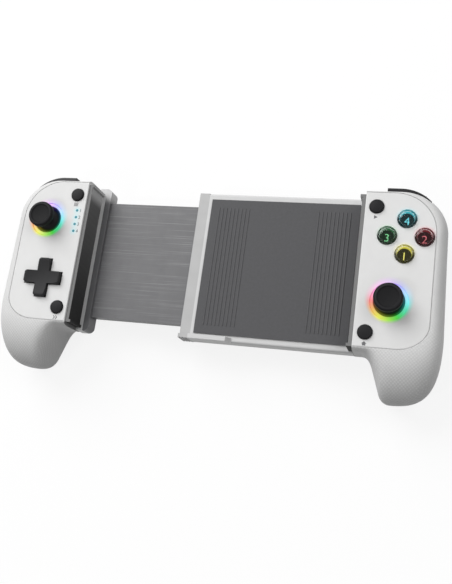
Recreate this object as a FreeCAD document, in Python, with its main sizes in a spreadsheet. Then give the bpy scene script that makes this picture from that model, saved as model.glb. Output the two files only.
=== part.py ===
import FreeCAD, Part
import Sketcher
import math
import os

# A stretching gamepad that holds a phone between two grips. It lies on its back with its face up.
# X runs from the left grip to the right one, Y from the handles to the shoulder buttons, Z out of the face.
# The origin is in the middle of the floor under it. Lengths are in millimetres.

doc = FreeCAD.newDocument("gamepad")
sheet = doc.addObject("Spreadsheet::Sheet", "sizes")
up = FreeCAD.Vector(0, 0, 1)
rightward = FreeCAD.Vector(1, 0, 0)
backward = FreeCAD.Vector(0, 1, 0)
subParts = {}


class Size:
    # A length with its number and with the expression that gives it from the sheet
    def __init__(self, value, text):
        self.value = value
        self.text = text

    def __add__(self, other):
        return joined(self, "+", other, self.value + numberOf(other))

    def __radd__(self, other):
        return joined(other, "+", self, self.value + numberOf(other))

    def __sub__(self, other):
        return joined(self, "-", other, self.value - numberOf(other))

    def __rsub__(self, other):
        return joined(other, "-", self, numberOf(other) - self.value)

    def __mul__(self, other):
        return joined(self, "*", other, self.value * numberOf(other))

    def __rmul__(self, other):
        return joined(other, "*", self, self.value * numberOf(other))

    def __truediv__(self, other):
        return joined(self, "/", other, self.value / numberOf(other))

    def __neg__(self):
        return joined(-1, "*", self, -self.value)


def numberOf(length):
    return length.value if isinstance(length, Size) else float(length)


def textOf(length):
    return length.text if isinstance(length, Size) else repr(float(length))


def joined(first, sign, second, value):
    return Size(value, f"({textOf(first)} {sign} {textOf(second)})")


def addSizes(heading, numbers):
    # One block of the sheet: a heading, then a name and a number on each row
    row = addSizes.nextRow
    sheet.set(f"A{row}", heading)
    made = {}
    for name, number in numbers.items():
        row += 1
        sheet.set(f"A{row}", name)
        sheet.set(f"B{row}", str(number))
        sheet.setAlias(f"B{row}", name)
        made[name] = Size(number, f"sizes.{name}")
    addSizes.nextRow = row + 2
    return made


addSizes.nextRow = 1

gripSizes = {
    "grip_gap": 160,
    "grip_depth": 35,
    "grip_width": 43,
    "grip_top": 43.6,
    "grip_low": 43,
    "tip_reach": 66.8,
    "panel_out_margin": 5.6,
    "panel_top_margin": 1.6,
    "panel_low_margin": 2,
    "panel_thickness": 2,
    "panel_edge": 0.5,
    "seam": 0.12,
    "wall": 2,
    "parting_height": 16,
    "top_corner": 22,
    "handle_narrow": 14.1,
    "tip_front_depth": 17,
    "groove_radius": 40,
    "groove_rise": 6,
    "groove_middle": 2,
    "groove_soft": 2.5,
    "wall_gap": 0.06,
}
curveSizes = {
    "inner_back_pull": 3,
    "inner_back_reach": 6,
    "outer_front_reach": 8,
    "outer_back_pull": 12,
    "outer_back_reach": 16,
    "top_front_reach": 5,
    "top_back_pull": 6,
    "top_back_reach": 12,
    "low_front_reach": 6,
    "low_back_pull": 8,
    "low_back_reach": 20,
    "tip_back_pull": 9,
    "tip_back_reach": 19,
    "handle_back_pull": 4,
    "handle_back_reach": 10,
    "handle_front_narrow": 17.1,
    "handle_taper": 3.8,
    "handle_front_taper": 5,
    "handle_lift": 4.5,
    "handle_flare": 1.5,
    "crotch_width": 3.5,
    "crotch_front_width": 6,
    "crotch_drop": 8,
    "tip_corner": 35.8,
    "tip_front_corner": 19,
    "tip_share": 0.2,
}
bridgeSizes = {
    "sleeve_end": -17,
    "sleeve_height": 86,
    "sleeve_rise": 1,
    "sleeve_floor": 10,
    "sleeve_thickness": 9,
    "sleeve_wall": 1.5,
    "sleeve_split": 4.5,
    "sleeve_soft": 1.2,
    "sleeve_back": 2,
    "channel_inset": 6,
    "cover_screw_inset": 3.3,
    "cover_screw_radius": 0.95,
    "cover_screw_length": 6.5,
    "cover_screw_fit": 0.05,
    "cover_head_radius": 1.9,
    "cover_head_height": 1,
    "cover_head_drop": 0.2,
    "end_cap_length": 6,
    "rib_width": 0.8,
    "rib_depth": 0.4,
    "slide_fit": 0.2,
    "tongue_margin": 8,
    "tongue_tip": 22.5,
    "tongue_root": 2,
    "spring_bore": 4.6,
    "spring_spacing": 44,
    "spring_diameter": 4,
    "spring_wall": 0.5,
    "spring_inset": 12,
    "spring_end_gap": 0.3,
    "stub_length": 7.5,
    "stub_overhang": 0.5,
    "stop_length": 3.5,
    "stop_soft": 3.2,
    "pad_thickness": 0.7,
    "pad_side_margin": 3.7,
    "pad_margin": 2,
    "lip_length": 22,
    "lip_rise": 4,
    "lip_thickness": 2.4,
    "lip_root": 1,
    "lip_slant": 2,
    "lip_soft": 0.7,
    "lip_step": 0.5,
    "phone_pad_thickness": 2,
    "phone_pad_height": 82,
    "phone_pad_drop": 1,
    "hook_reach": 1.1,
    "hook_thickness": 1.5,
}
buttonSizes = {
    "face_button_radius": 4.85,
    "face_button_spread": 9.5,
    "face_cluster_in": 22.1,
    "face_cluster_up": 18.3,
    "face_button_rise": 2.2,
    "face_lens_wall": 0.9,
    "small_button_radius": 3.7,
    "small_button_in": 6,
    "small_button_up": 34,
    "small_button_down": 33.4,
    "small_button_rise": 1.5,
    "button_gap": 0.3,
    "button_flange": 0.6,
    "flange_thickness": 1.2,
    "flange_drop": 0.7,
    "button_travel": 1.2,
    "button_foot": 9,
    "dome_radius": 2.3,
    "dome_rise": 1.9,
    "mat_thickness": 1,
    "mat_margin": 0.3,
    "face_lens_top": 1.5,
    "face_core_edge": 0.4,
    "face_core_depth": 1,
    "face_stem_radius": 3,
    "face_edge": 0.9,
    "face_edge_in": 0.7,
    "face_edge_drop": 1.1,
    "face_bow": 0.45,
    "small_stem_radius": 1.85,
    "small_edge": 0.6,
    "small_edge_in": 0.5,
    "small_edge_drop": 0.7,
    "small_bow": 0.25,
}
stickSizes = {
    "right_stick_in": 16.6,
    "right_stick_up": -16.7,
    "left_stick_in": 22.3,
    "left_stick_up": 18.4,
    "ring_radius": 9.8,
    "ring_width": 1.8,
    "ring_gap": 0.05,
    "ring_soft": 0.3,
    "ring_drop": 0.3,
    "ring_thickness": 2.2,
    "pivot_drop": 7,
    "ball_radius": 8.2,
    "ball_wall": 0.9,
    "ball_gap": 0.4,
    "neck_radius": 2.7,
    "cap_radius": 7.4,
    "cap_lift": 5.6,
    "cap_thickness": 4.4,
    "cap_rim": 1,
    "housing_wall": 1,
    "yoke_outer": 4.6,
    "yoke_inner": 3,
    "yoke_thickness": 2,
    "gimbal_pin": 0.7,
    "gimbal_fit": 0.05,
    "post_outer": 6.8,
    "post_inner": 5,
    "post_width": 2.6,
    "carriage_floor": 1.4,
    "press_travel": 0.5,
    "carriage_gap": 0.3,
    "post_rise": 1.5,
    "lip_drop": 0.2,
    "lip_flat": 0.5,
    "lip_bevel": 0.7,
    "throat_radius": 6.97,
    "bowl_step": 0.3,
    "bowl_edge": 0.043,
    "stem_gap": 0.9,
    "stem_drop": 1.4,
    "skirt_radius": 7.32,
    "cap_floor": 1.4,
    "cap_soft": 1.2,
    "cap_bevel": 0.1,
    "cap_lip": 0.7,
    "cap_step": 0.5,
    "cap_dish": 0.4,
}
crossSizes = {
    "cross_in": 17.9,
    "cross_up": -16.8,
    "cross_span": 22.4,
    "cross_arm": 7.2,
    "cross_rise": 2.6,
    "cross_gap": 0.35,
    "cross_flange": 12.4,
    "cross_ball": 2.2,
    "cross_ball_fit": 0.05,
    "cross_ball_drop": 2.6,
    "cross_foot": 2,
    "cross_soft": 0.7,
    "cross_corner": 1.5,
    "cross_drop": 0.9,
    "cross_dish": 1.1,
    "cross_dish_radius": 46.8,
    "cross_flange_thickness": 1.3,
    "cross_socket_wall": 1.45,
    "cross_socket_reach": 0.5,
    "cross_foot_inset": 3,
    "cross_post_radius": 2.9,
    "cross_post_drop": 1.1,
    "cross_post_gap": 0.2,
}
shoulderSizes = {
    "bumper_in": 10.6,
    "bumper_out_margin": 9.3,
    "bumper_proud": 2.3,
    "bumper_radius": 22,
    "bumper_centre_margin": 25.2,
    "bumper_thickness": 5,
    "bumper_drop": 2.6,
    "bumper_floor_rise": 7,
    "bumper_gap": 0.4,
    "bumper_pin": 0.9,
    "bumper_pin_in": 12.6,
    "bumper_pin_back": 1.3,
    "bumper_pin_foot": 0.9,
    "bumper_room": 1.6,
    "slot_bridge": 1.1,
    "bumper_soft": 1.2,
    "trigger_in": 11.3,
    "trigger_width": 19,
    "trigger_proud": 5.4,
    "trigger_hinge_back": 8.1,
    "trigger_hinge_rise": 2.5,
    "trigger_low": 5,
    "trigger_gap": 0.4,
    "trigger_slot_back": 3.2,
    "trigger_room": 2,
    "trigger_back": 2.2,
    "trigger_under": 2.6,
    "trigger_crown": 2.1,
    "trigger_waist": 6,
    "trigger_toe": 1,
    "trigger_bow": 30,
    "trigger_lean": 1.3,
    "trigger_brow": 4.5,
    "trigger_pin": 1,
    "trigger_soft": 2.5,
    "pin_fit": 0.05,
    "lug_thickness": 2,
    "lug_back": 2.4,
    "lug_length": 12,
    "lug_height": 4.9,
}
bossSizes = {
    "boss_radius": 3.2,
    "boss_web": 1.6,
    "boss_middle_in": 6,
    "boss_middle_up": 4,
    "boss_low_in": 10.5,
    "boss_low_down": 37,
    "boss_low_sink": 4,
    "boss_outer_in": 33,
    "boss_outer_up": 2,
    "boss_handle_in": 25,
    "boss_handle_down": 54,
    "boss_end": 2,
    "boss_foot": 1,
}
insideSizes = {
    "board_height": 20,
    "board_thickness": 1.6,
    "board_in": 3.2,
    "board_out_margin": 7,
    "board_top_margin": 13,
    "board_low_margin": 7,
    "board_tab_margin": 5.6,
    "board_tab_out": 8.3,
    "board_gap": 0.4,
    "screw_head_radius": 2.1,
    "screw_head_height": 1.5,
    "screw_head_seat": 8,
    "screw_radius": 1.1,
    "screw_length": 15,
    "screw_fit": 0.3,
    "slot_width": 0.55,
    "slot_length": 2.7,
    "slot_depth": 0.7,
    "port_width": 9,
    "port_thickness": 3.3,
    "port_depth": 7.3,
    "port_in": 3.6,
    "port_height": 5.5,
    "port_wall": 0.35,
    "port_gap": 0.15,
    "port_tongue": 0.7,
    "port_tongue_inset": 1.2,
    "port_floor": 1,
    "cell_width": 18,
    "cell_height": 26,
    "cell_thickness": 8,
    "cell_out_margin": 8.5,
    "cell_down": 48,
    "cell_floor": 5,
    "cell_rib_inset": 5,
    "light_radius": 0.75,
    "light_in": 4.7,
    "light_up": 24.5,
    "light_step": 4.17,
    "light_gap": 0.05,
    "light_rise": 0.1,
}
grip = addSizes("Grips", gripSizes)
curve = addSizes("Rounding of the grips, from their face and from their back", curveSizes)
bridge = addSizes("Bridge between the grips", bridgeSizes)
button = addSizes("Buttons", buttonSizes)
stick = addSizes("Thumb sticks", stickSizes)
cross = addSizes("Direction cross", crossSizes)
shoulder = addSizes("Shoulder buttons and triggers", shoulderSizes)
boss = addSizes("Screw bosses of a grip", bossSizes)
inside = addSizes("Boards, screws and ports", insideSizes)


# Heights and places that several pieces share
face = grip["grip_depth"]
underPanel = face - grip["panel_thickness"]
triggerReach = grip["grip_top"] + shoulder["trigger_proud"]
middle = (grip["tip_reach"] - triggerReach) / 2
halfGap = grip["grip_gap"] / 2
boardTop = inside["board_height"] + inside["board_thickness"]
sleeveTop = bridge["sleeve_floor"] + bridge["sleeve_thickness"]

# How far cutting pieces run past what they cut
past = 1
wellPast = 10


def bind(item, field, length):
    item.setExpression(field, textOf(length))


def placeAt(item, x, y, z):
    bind(item, "Placement.Base.x", x)
    bind(item, "Placement.Base.y", y)
    bind(item, "Placement.Base.z", z)
    return item


def box(name, x, y, z, length, width, height):
    item = doc.addObject("Part::Box", name)
    bind(item, "Length", length)
    bind(item, "Width", width)
    bind(item, "Height", height)
    return placeAt(item, x, y, z)


def cylinder(name, x, y, z, radius, height, axis=up):
    item = doc.addObject("Part::Cylinder", name)
    bind(item, "Radius", radius)
    bind(item, "Height", height)
    item.Placement = FreeCAD.Placement(FreeCAD.Vector(), FreeCAD.Rotation(up, axis))
    return placeAt(item, x, y, z)


def ball(name, x, y, z, radius):
    item = doc.addObject("Part::Sphere", name)
    bind(item, "Radius", radius)
    return placeAt(item, x, y, z)


def fuse(name, *pieces):
    item = doc.addObject("Part::MultiFuse", name)
    item.Shapes = list(pieces)
    return item


def common(name, *pieces):
    item = doc.addObject("Part::MultiCommon", name)
    item.Shapes = list(pieces)
    return item


def cut(name, base, *tools):
    item = doc.addObject("Part::Cut", name)
    item.Base = base
    item.Tool = tools[0] if len(tools) == 1 else fuse(name + "_tools", *tools)
    return item


def softened(name, base, radius, chosen):
    # The base with a round of this radius on each edge that the test picks by its box
    doc.recompute()
    item = doc.addObject("Part::Fillet", name)
    item.Base = base
    edges = base.Shape.Edges
    item.Edges = [
        (index + 1, numberOf(radius), numberOf(radius))
        for index, edge in enumerate(edges) if chosen(edge)
    ]
    return item


def mirrored(name, source):
    item = doc.addObject("Part::Mirroring", name)
    item.Source = source
    item.Normal = rightward
    return item


def subPart(item, node):
    item.Label = node
    subParts[node] = item
    return item


def planeOf(body, role):
    return next(part for part in body.Origin.OriginFeatures if part.Role == role)


def sketchOf(body, plane, name, corners):
    # A closed outline: each corner is (x, y) for a straight side that starts there, or
    # (x, y, radius) for an arc that starts there, bulging to the right of its way if the radius is positive.
    sketch = body.newObject("Sketcher::SketchObject", name)
    sketch.AttachmentSupport = [(planeOf(body, plane), "")]
    sketch.MapMode = "FlatFace"
    count = len(corners)
    ends = []
    for index, corner in enumerate(corners):
        following = corners[(index + 1) % count]
        start = FreeCAD.Vector(numberOf(corner[0]), numberOf(corner[1]), 0)
        end = FreeCAD.Vector(numberOf(following[0]), numberOf(following[1]), 0)
        if len(corner) == 2:
            number = sketch.addGeometry(Part.LineSegment(start, end), False)
            ends.append((number, 1, 2))
            continue
        turnsLeft = numberOf(corner[2]) > 0
        radius = abs(numberOf(corner[2]))
        chord = end - start
        rise = math.sqrt(max(radius ** 2 - chord.Length ** 2 / 4, 0))
        side = FreeCAD.Vector(-chord.y, chord.x, 0).normalize()
        centre = (start + end) * 0.5 + side * (rise if turnsLeft else -rise)
        first, last = (start, end) if turnsLeft else (end, start)
        angles = [math.atan2(point.y - centre.y, point.x - centre.x) for point in (first, last)]
        circle = Part.Circle(centre, up, radius)
        number = sketch.addGeometry(Part.ArcOfCircle(circle, angles[0], angles[1]), False)
        ends.append((number, 1, 2) if turnsLeft else (number, 2, 1))
        sketch.addConstraint(Sketcher.Constraint("Radius", number, radius))
        radiusText = textOf(corner[2]) if turnsLeft else textOf(-corner[2])
        sketch.setExpression(f"Constraints[{sketch.ConstraintCount - 1}]", radiusText)
    for index, corner in enumerate(corners):
        number, startEnd, farEnd = ends[index]
        nextNumber, nextStart = ends[(index + 1) % count][:2]
        sketch.addConstraint(Sketcher.Constraint("Coincident", number, farEnd, nextNumber, nextStart))
        for kind, length, axis in (("DistanceX", corner[0], -2), ("DistanceY", corner[1], -1)):
            if abs(numberOf(length)) < 1e-9:
                sketch.addConstraint(Sketcher.Constraint("PointOnObject", number, startEnd, axis))
                continue
            constraint = Sketcher.Constraint(kind, -1, 1, number, startEnd, numberOf(length))
            sketch.addConstraint(constraint)
            sketch.setExpression(f"Constraints[{sketch.ConstraintCount - 1}]", textOf(length))
    return sketch


def turned(name, x, y, z, corners):
    # A body turned about its own upright axis from an outline of (radius, height) corners
    body = doc.addObject("PartDesign::Body", name)
    sketch = sketchOf(body, "XZ_Plane", name + "_outline", corners)
    turn = body.newObject("PartDesign::Revolution", name + "_turn")
    turn.Profile = sketch
    turn.ReferenceAxis = (sketch, ["V_Axis"])
    turn.Angle = 360
    return placeAt(body, x, y, z)


def padded(name, x, y, z, corners, height, plane="XY_Plane"):
    # A body raised from an outline on one of its own planes
    body = doc.addObject("PartDesign::Body", name)
    sketch = sketchOf(body, plane, name + "_outline", corners)
    pad = body.newObject("PartDesign::Pad", name + "_pad")
    pad.Profile = sketch
    bind(pad, "Length", height)
    return placeAt(body, x, y, z)


def isNear(first, second):
    # Whether two lengths are the same within a thousandth
    return abs(numberOf(first) - numberOf(second)) < 1e-3


def rounding(width, reach, depth):
    # How far a quarter of an ellipse pulls in a wall at this depth below its edge
    if depth >= reach:
        return 0.0
    share = (reach - depth) / reach
    return width * (1 - math.sqrt(max(0.0, 1 - share ** 2)))


def blend(share, first, last):
    return first + (last - first) * share


def pulled(edge, depth):
    # How far a back edge's rounding pulls its wall in
    return rounding(numberOf(curve[edge + "_pull"]), numberOf(curve[edge + "_reach"]), depth)


def between(share, first, last):
    return blend(share, numberOf(curve[first]), numberOf(curve[last]))


# The share of a radius at which the poles of a quarter circle stand, and the least length of a short wall
circleShare = 0.552
leastSide = 0.1


def gripOutline(depth, inset, height):
    # The grip's outline at a depth below its face: four walls, the handle and the crotch beside it
    full = numberOf(face)
    behind = full - depth
    low = numberOf(grip["grip_low"])
    tip = numberOf(grip["tip_reach"])
    panelLow = low - numberOf(grip["panel_low_margin"])
    tipDepth = numberOf(grip["tip_front_depth"])
    width = numberOf(grip["grip_width"])
    panelWidth = width - numberOf(grip["panel_out_margin"])
    top = numberOf(grip["grip_top"])
    panelTop = top - numberOf(grip["panel_top_margin"])
    inner = numberOf(halfGap) + pulled("inner_back", behind) + inset
    outer = numberOf(halfGap) + width - pulled("outer_back", behind) - inset
    outer -= rounding(width - panelWidth, numberOf(curve["outer_front_reach"]), depth)
    upper = top - rounding(top - panelTop, numberOf(curve["top_front_reach"]), depth) - inset
    upper -= pulled("top_back", behind)
    lower = -low + rounding(low - panelLow, numberOf(curve["low_front_reach"]), depth) + inset
    lower += pulled("low_back", behind)
    tipLine = -tip + rounding(tip - panelLow, tipDepth, depth) + pulled("tip_back", behind) + inset
    handle = 1.0
    if depth < tipDepth:
        handle = max(min(1.0, (lower - tipLine) / (tip - low)), 0.0)
    narrow = numberOf(grip["handle_narrow"])
    insideLow = numberOf(halfGap) + blend(handle, numberOf(curve["handle_front_narrow"]), narrow) + inset
    insideLow += pulled("handle_back", behind)
    insideHigh = insideLow - between(handle, "handle_front_taper", "handle_taper")
    crotch = inner + between(handle, "crotch_front_width", "crotch_width")
    insideLowY = tipLine + numberOf(curve["handle_lift"]) * handle
    insideHighY = max(lower - numberOf(curve["crotch_drop"]) * handle, insideLowY + leastSide * handle)
    flared = outer + numberOf(curve["handle_flare"]) * handle
    spread = (outer - insideLow) / (width - narrow)
    tipStart = insideLow + numberOf(curve["tip_share"]) * (outer - insideLow)
    cornerUp = between(handle, "tip_front_corner", "tip_corner") * min(1.0, spread)
    corner = numberOf(grip["top_corner"]) - inset
    sideFullness = blend(handle, circleShare, 0.83)
    tipFullness = blend(handle, circleShare, 0.65)
    shiftY = numberOf(middle)

    def at(x, y):
        return FreeCAD.Vector(x, y + shiftY, height)

    def bend(*poles):
        bezier = Part.BezierCurve()
        bezier.setPoles([at(*pole) for pole in poles])
        return bezier.toBSpline().toShape()

    def line(first, last):
        return Part.LineSegment(at(*first), at(*last)).toShape()

    slopeX = insideLow - insideHigh
    slopeY = insideLowY - insideHighY
    slope = max(math.hypot(slopeX, slopeY), 1e-6)
    slopeX /= slope
    slopeY /= slope
    tipRound = tipStart - insideLow
    throat = math.hypot(insideHigh - crotch, insideHighY - lower)
    soft = (1 - circleShare) * corner
    tipCorner = (tipStart, tipLine)
    tipPull = 0.35 * tipRound
    throatPull = 0.38 * throat
    return Part.Wire([
        line((inner, lower), (inner, upper)),
        line((inner, upper), (outer - corner, upper)),
        bend((outer - corner, upper), (outer - soft, upper), (outer, upper - soft), (outer, upper - corner)),
        line((outer, upper - corner), (flared, tipLine + cornerUp)),
        bend((flared, tipLine + cornerUp), (flared, tipLine + cornerUp * (1 - sideFullness)),
             (tipStart + (flared - tipStart) * tipFullness, tipLine), tipCorner),
        bend(tipCorner, (tipStart - circleShare * tipRound, tipLine),
             (insideLow + slopeX * tipPull, insideLowY + slopeY * tipPull), (insideLow, insideLowY)),
        line((insideLow, insideLowY), (insideHigh, insideHighY)),
        bend((insideHigh, insideHighY), (insideHigh - slopeX * throatPull, insideHighY - slopeY * throatPull),
             (crotch + throatPull, lower), (crotch, lower)),
        line((crotch, lower), (inner, lower)),
    ])


def gripBlock(name, inset):
    # The grip as one rounded block; with an inset it is the hollow, a wall's thickness inside on every side
    full = numberOf(face)
    shares = (0, 0.007, 0.025, 0.062, 0.12, 0.2, 0.314, 0.486, 0.657, 0.8, 0.914, 0.975, 0.994, 1)
    outlines = []
    for share in shares:
        depth = share * full
        height = full - depth
        if inset:
            height += inset if share > 0.5 else -inset
        outlines.append(gripOutline(depth, inset, height))
    item = doc.addObject("Part::Feature", name)
    item.Shape = Part.makeLoft(outlines, True, False)
    return item


def panelPlate(name, inset, thickness, edge):
    # A plate of the face's own outline, its top edge rounded
    outline = gripOutline(0, inset, numberOf(face))
    plate = Part.Face(outline).extrude(FreeCAD.Vector(0, 0, -thickness))
    if edge:
        top = numberOf(face)
        rim = [side for side in plate.Edges if side.BoundBox.ZMin > top - 1e-6]
        plate = plate.makeFillet(edge, rim)
    item = doc.addObject("Part::Feature", name)
    item.Shape = plate
    return item


# The block of a grip, its hollow, and the finger groove across its back
gripForm = gripBlock("grip_form", 0)
gripHollow = gripBlock("grip_hollow", numberOf(grip["wall"]))
groovePlace = middle + grip["groove_middle"]
grooveDepth = grip["groove_rise"] - grip["groove_radius"]
acrossX = halfGap - wellPast
acrossLength = grip["grip_width"] + wellPast * 2


def grooveTool(name, radius):
    return cylinder(name, acrossX, groovePlace, grooveDepth, radius, acrossLength, rightward)


sharpGroove = cut("grip_grooved", gripForm, grooveTool("groove", grip["groove_radius"]))


def bordersGroove(edge):
    # Whether both ends of the edge and its middle lie on the groove's round
    axisY = numberOf(groovePlace)
    axisZ = numberOf(grooveDepth)
    radius = numberOf(grip["groove_radius"])
    middlePoint = edge.valueAt((edge.FirstParameter + edge.LastParameter) / 2)
    points = [vertex.Point for vertex in edge.Vertexes] + [middlePoint]
    return all(isNear(math.hypot(point.y - axisY, point.z - axisZ), radius) for point in points)


grooved = softened("grip_softened", sharpGroove, grip["groove_soft"], bordersGroove)
hollow = cut("grip_hollow_cut", gripHollow, grooveTool("groove_inside", grip["groove_radius"] + grip["wall"]))
shell = cut("grip_shell", grooved, hollow)

# Each screw boss: its place in the grip, the way to the wall that its web joins, and how far that is
lowWeb = grip["grip_low"] + boss["boss_low_sink"] - boss["boss_low_down"]
outerWeb = grip["grip_width"] - boss["boss_outer_in"]
bosses = {
    "inner_middle": (boss["boss_middle_in"], boss["boss_middle_up"], (-1, 0), boss["boss_middle_in"]),
    "inner_low": (boss["boss_low_in"], -boss["boss_low_down"], (0, -1), lowWeb),
    "outer": (boss["boss_outer_in"], boss["boss_outer_up"], (1, 0), outerWeb),
    "handle": (boss["boss_handle_in"], -boss["boss_handle_down"], (0, 0), 0),
}


def webBox(name, x, y, way, reach, half, floor, height):
    # The web from a boss at this place, or with a larger half width the room round it
    if way[0]:
        return box(name, x if way[0] > 0 else x - reach, y - half, floor, reach, half * 2, height)
    return box(name, x - half, y - reach, floor, half * 2, reach, height)


def bossSet(name, floor, height, gap=0):
    # The bosses and their webs, or with a gap the room that a board leaves round them
    pieces = []
    for place, (across, along, way, reach) in bosses.items():
        x = halfGap + across
        y = middle + along
        pieces.append(cylinder(f"{name}_{place}", x, y, floor, boss["boss_radius"] + gap, height))
        if way != (0, 0):
            half = boss["boss_web"] / 2 + gap
            pieces.append(webBox(f"{name}_{place}_web", x, y, way, reach, half, floor, height))
    return fuse(name, *pieces)


def boreSet(name, floor, height, radius):
    return fuse(name, *[
        cylinder(f"{name}_{place}", halfGap + spot[0], middle + spot[1], floor, radius, height)
        for place, spot in bosses.items()
    ])


# Where the controls stand
def place(side, across, along):
    # A point of the right grip, or its twin on the left one, from the grip's inner wall and its middle
    x = halfGap + across
    return (x if side == "right" else -x), middle + along


faceSpots = {
    1: (0, -1),
    2: (1, 0),
    3: (-1, 0),
    4: (0, 1),
}
facePlaces = {
    number: place("right", button["face_cluster_in"] + step[0] * button["face_button_spread"],
                  button["face_cluster_up"] + step[1] * button["face_button_spread"])
    for number, step in faceSpots.items()
}
smallPlaces = {
    "start_button": place("right", button["small_button_in"], button["small_button_up"]),
    "home_button": place("right", button["small_button_in"], -button["small_button_down"]),
    "select_button": place("left", button["small_button_in"], button["small_button_up"]),
    "turbo_button": place("left", button["small_button_in"], -button["small_button_down"]),
}
stickPlaces = {
    "right": place("right", stick["right_stick_in"], stick["right_stick_up"]),
    "left": place("left", stick["left_stick_in"], stick["left_stick_up"]),
}
crossPlace = place("left", cross["cross_in"], cross["cross_up"])
lightPlaces = [
    place("left", inside["light_in"], inside["light_up"] - inside["light_step"] * step)
    for step in range(4)
]
ringHole = stick["ring_radius"] + stick["ring_gap"]


# Bumper and trigger openings in the top wall
bumperCentreX = halfGap + grip["grip_width"] - shoulder["bumper_centre_margin"]
bumperCentreY = middle + grip["grip_top"] + shoulder["bumper_proud"] - shoulder["bumper_radius"]
bumperTop = face - shoulder["bumper_drop"]
bumperFloor = grip["parting_height"] + shoulder["bumper_floor_rise"]
bumperHeight = bumperTop - bumperFloor


def bumperBand(name, gap, inward):
    # The bumper's bent bar, or with a gap the opening that it moves in
    low = bumperFloor - gap
    height = bumperHeight + gap * 2
    outerRadius = shoulder["bumper_radius"] + gap
    innerRadius = shoulder["bumper_radius"] - shoulder["bumper_thickness"] - inward
    start = halfGap + shoulder["bumper_in"] - gap
    straight = bumperCentreX - start
    outerBar = box(name + "_bar", start, bumperCentreY, low, straight, outerRadius, height)
    outerRound = cylinder(name + "_round", bumperCentreX, bumperCentreY, low, outerRadius, height)
    innerBar = box(name + "_bar_inside", start - past, bumperCentreY - past, low - past, straight + past,
                   innerRadius + past, height + past * 2)
    innerRound = cylinder(name + "_round_inside", bumperCentreX, bumperCentreY, low - past, innerRadius,
                          height + past * 2)
    span = grip["grip_width"] - shoulder["bumper_out_margin"] - shoulder["bumper_in"] + gap * 2
    window = box(name + "_window", start, bumperCentreY, low, span, outerRadius, height)
    band = cut(name + "_band", fuse(name + "_outside", outerBar, outerRound), innerBar, innerRound)
    return common(name, band, window)


triggerStart = halfGap + shoulder["trigger_in"]
triggerHingeY = middle + grip["grip_top"] - shoulder["trigger_hinge_back"]
triggerHingeHeight = grip["parting_height"] + shoulder["trigger_hinge_rise"]
triggerSlotFloor = shoulder["trigger_low"] - shoulder["trigger_room"]
triggerSlot = box(
    "trigger_slot",
    triggerStart - shoulder["trigger_gap"],
    triggerHingeY - shoulder["trigger_slot_back"],
    triggerSlotFloor,
    shoulder["trigger_width"] + shoulder["trigger_gap"] * 2,
    triggerReach,
    bumperFloor - shoulder["bumper_gap"] - shoulder["slot_bridge"] - triggerSlotFloor,
)
bumperSlot = bumperBand("bumper_slot", shoulder["bumper_gap"], shoulder["bumper_room"])
windowY = -(grip["tip_reach"] + wellPast)
windowLength = (grip["tip_reach"] + wellPast) * 2
frontWindow = box("front_window", acrossX, windowY, grip["parting_height"], acrossLength, windowLength, face)
rearWindow = box("rear_window", acrossX, windowY, -past, acrossLength, windowLength,
                 grip["parting_height"] + past)

lug = shoulder["lug_thickness"]
lugGap = shoulder["trigger_gap"]
lugPlaces = (triggerStart - lugGap - lug, triggerStart + shoulder["trigger_width"] + lugGap)
lugs = [
    box(f"lug_{index}", place, triggerHingeY - shoulder["lug_back"], grip["parting_height"], lug,
        shoulder["lug_length"], shoulder["lug_height"])
    for index, place in enumerate(lugPlaces)
]
pinStart = triggerStart - lugGap - lug
pinLength = shoulder["trigger_width"] + lugGap * 2 + lug * 2
pinBore = cylinder("pin_bore", pinStart - past, triggerHingeY, triggerHingeHeight,
                   shoulder["trigger_pin"], pinLength + past * 2, rightward)
bumperPinX = halfGap + shoulder["bumper_pin_in"]
bumperPinY = middle + grip["grip_top"] - shoulder["bumper_pin_back"]
bumperPinFloor = bumperFloor - shoulder["bumper_gap"] - shoulder["bumper_pin_foot"]
bumperPinHeight = underPanel - bumperPinFloor
bumperPinBore = cylinder("bumper_pin_bore", bumperPinX, bumperPinY, bumperPinFloor,
                         shoulder["bumper_pin"], bumperPinHeight)

panelSeat = panelPlate("panel_seat", -numberOf(grip["seam"]), numberOf(grip["panel_thickness"]), 0)
bossBase = grip["parting_height"]
bossTop = inside["screw_head_seat"] + inside["screw_length"] + boss["boss_end"]
frontBosses = bossSet("front_bosses", bossBase, bossTop - bossBase)
handleBoss = cylinder("handle_boss", halfGap + boss["boss_handle_in"], middle - boss["boss_handle_down"],
                      bossBase, boss["boss_radius"], underPanel - bossBase)
frontBlock = fuse("front_block", common("front_half", shell, frontWindow),
                  common("front_inside", grooved, fuse("front_inner", frontBosses, handleBoss, *lugs)))
flangeSpots = [
    (smallPlaces["start_button"], button["small_button_radius"]),
    (smallPlaces["home_button"], button["small_button_radius"]),
    (facePlaces[2], button["face_button_radius"]),
]
flangeTop = underPanel - button["flange_drop"]
flangeFloor = flangeTop - button["flange_thickness"]
roomDepth = underPanel - flangeFloor + button["button_travel"] + button["button_gap"]
flangeRooms = [
    cylinder(f"flange_room_{index}", spot[0], spot[1], underPanel - roomDepth,
             radius + button["button_flange"] + button["button_gap"], roomDepth + past)
    for index, (spot, radius) in enumerate(flangeSpots)
]
frontBores = boreSet("front_bores", bossBase - past, bossTop - bossBase, inside["screw_radius"])
frontShell = cut("front_shell_cut", frontBlock, panelSeat, triggerSlot, bumperSlot, pinBore, bumperPinBore,
                 frontBores, *flangeRooms)
rearBosses = bossSet("rear_bosses", boss["boss_foot"], bossBase - boss["boss_foot"])
rearBlock = fuse("rear_block", common("rear_half", shell, rearWindow),
                 common("rear_inside", grooved, rearBosses))
seatRadius = inside["screw_head_radius"] + inside["screw_fit"]
portY = middle + grip["grip_top"] - inside["port_depth"]
portX = halfGap + inside["port_in"]
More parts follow.
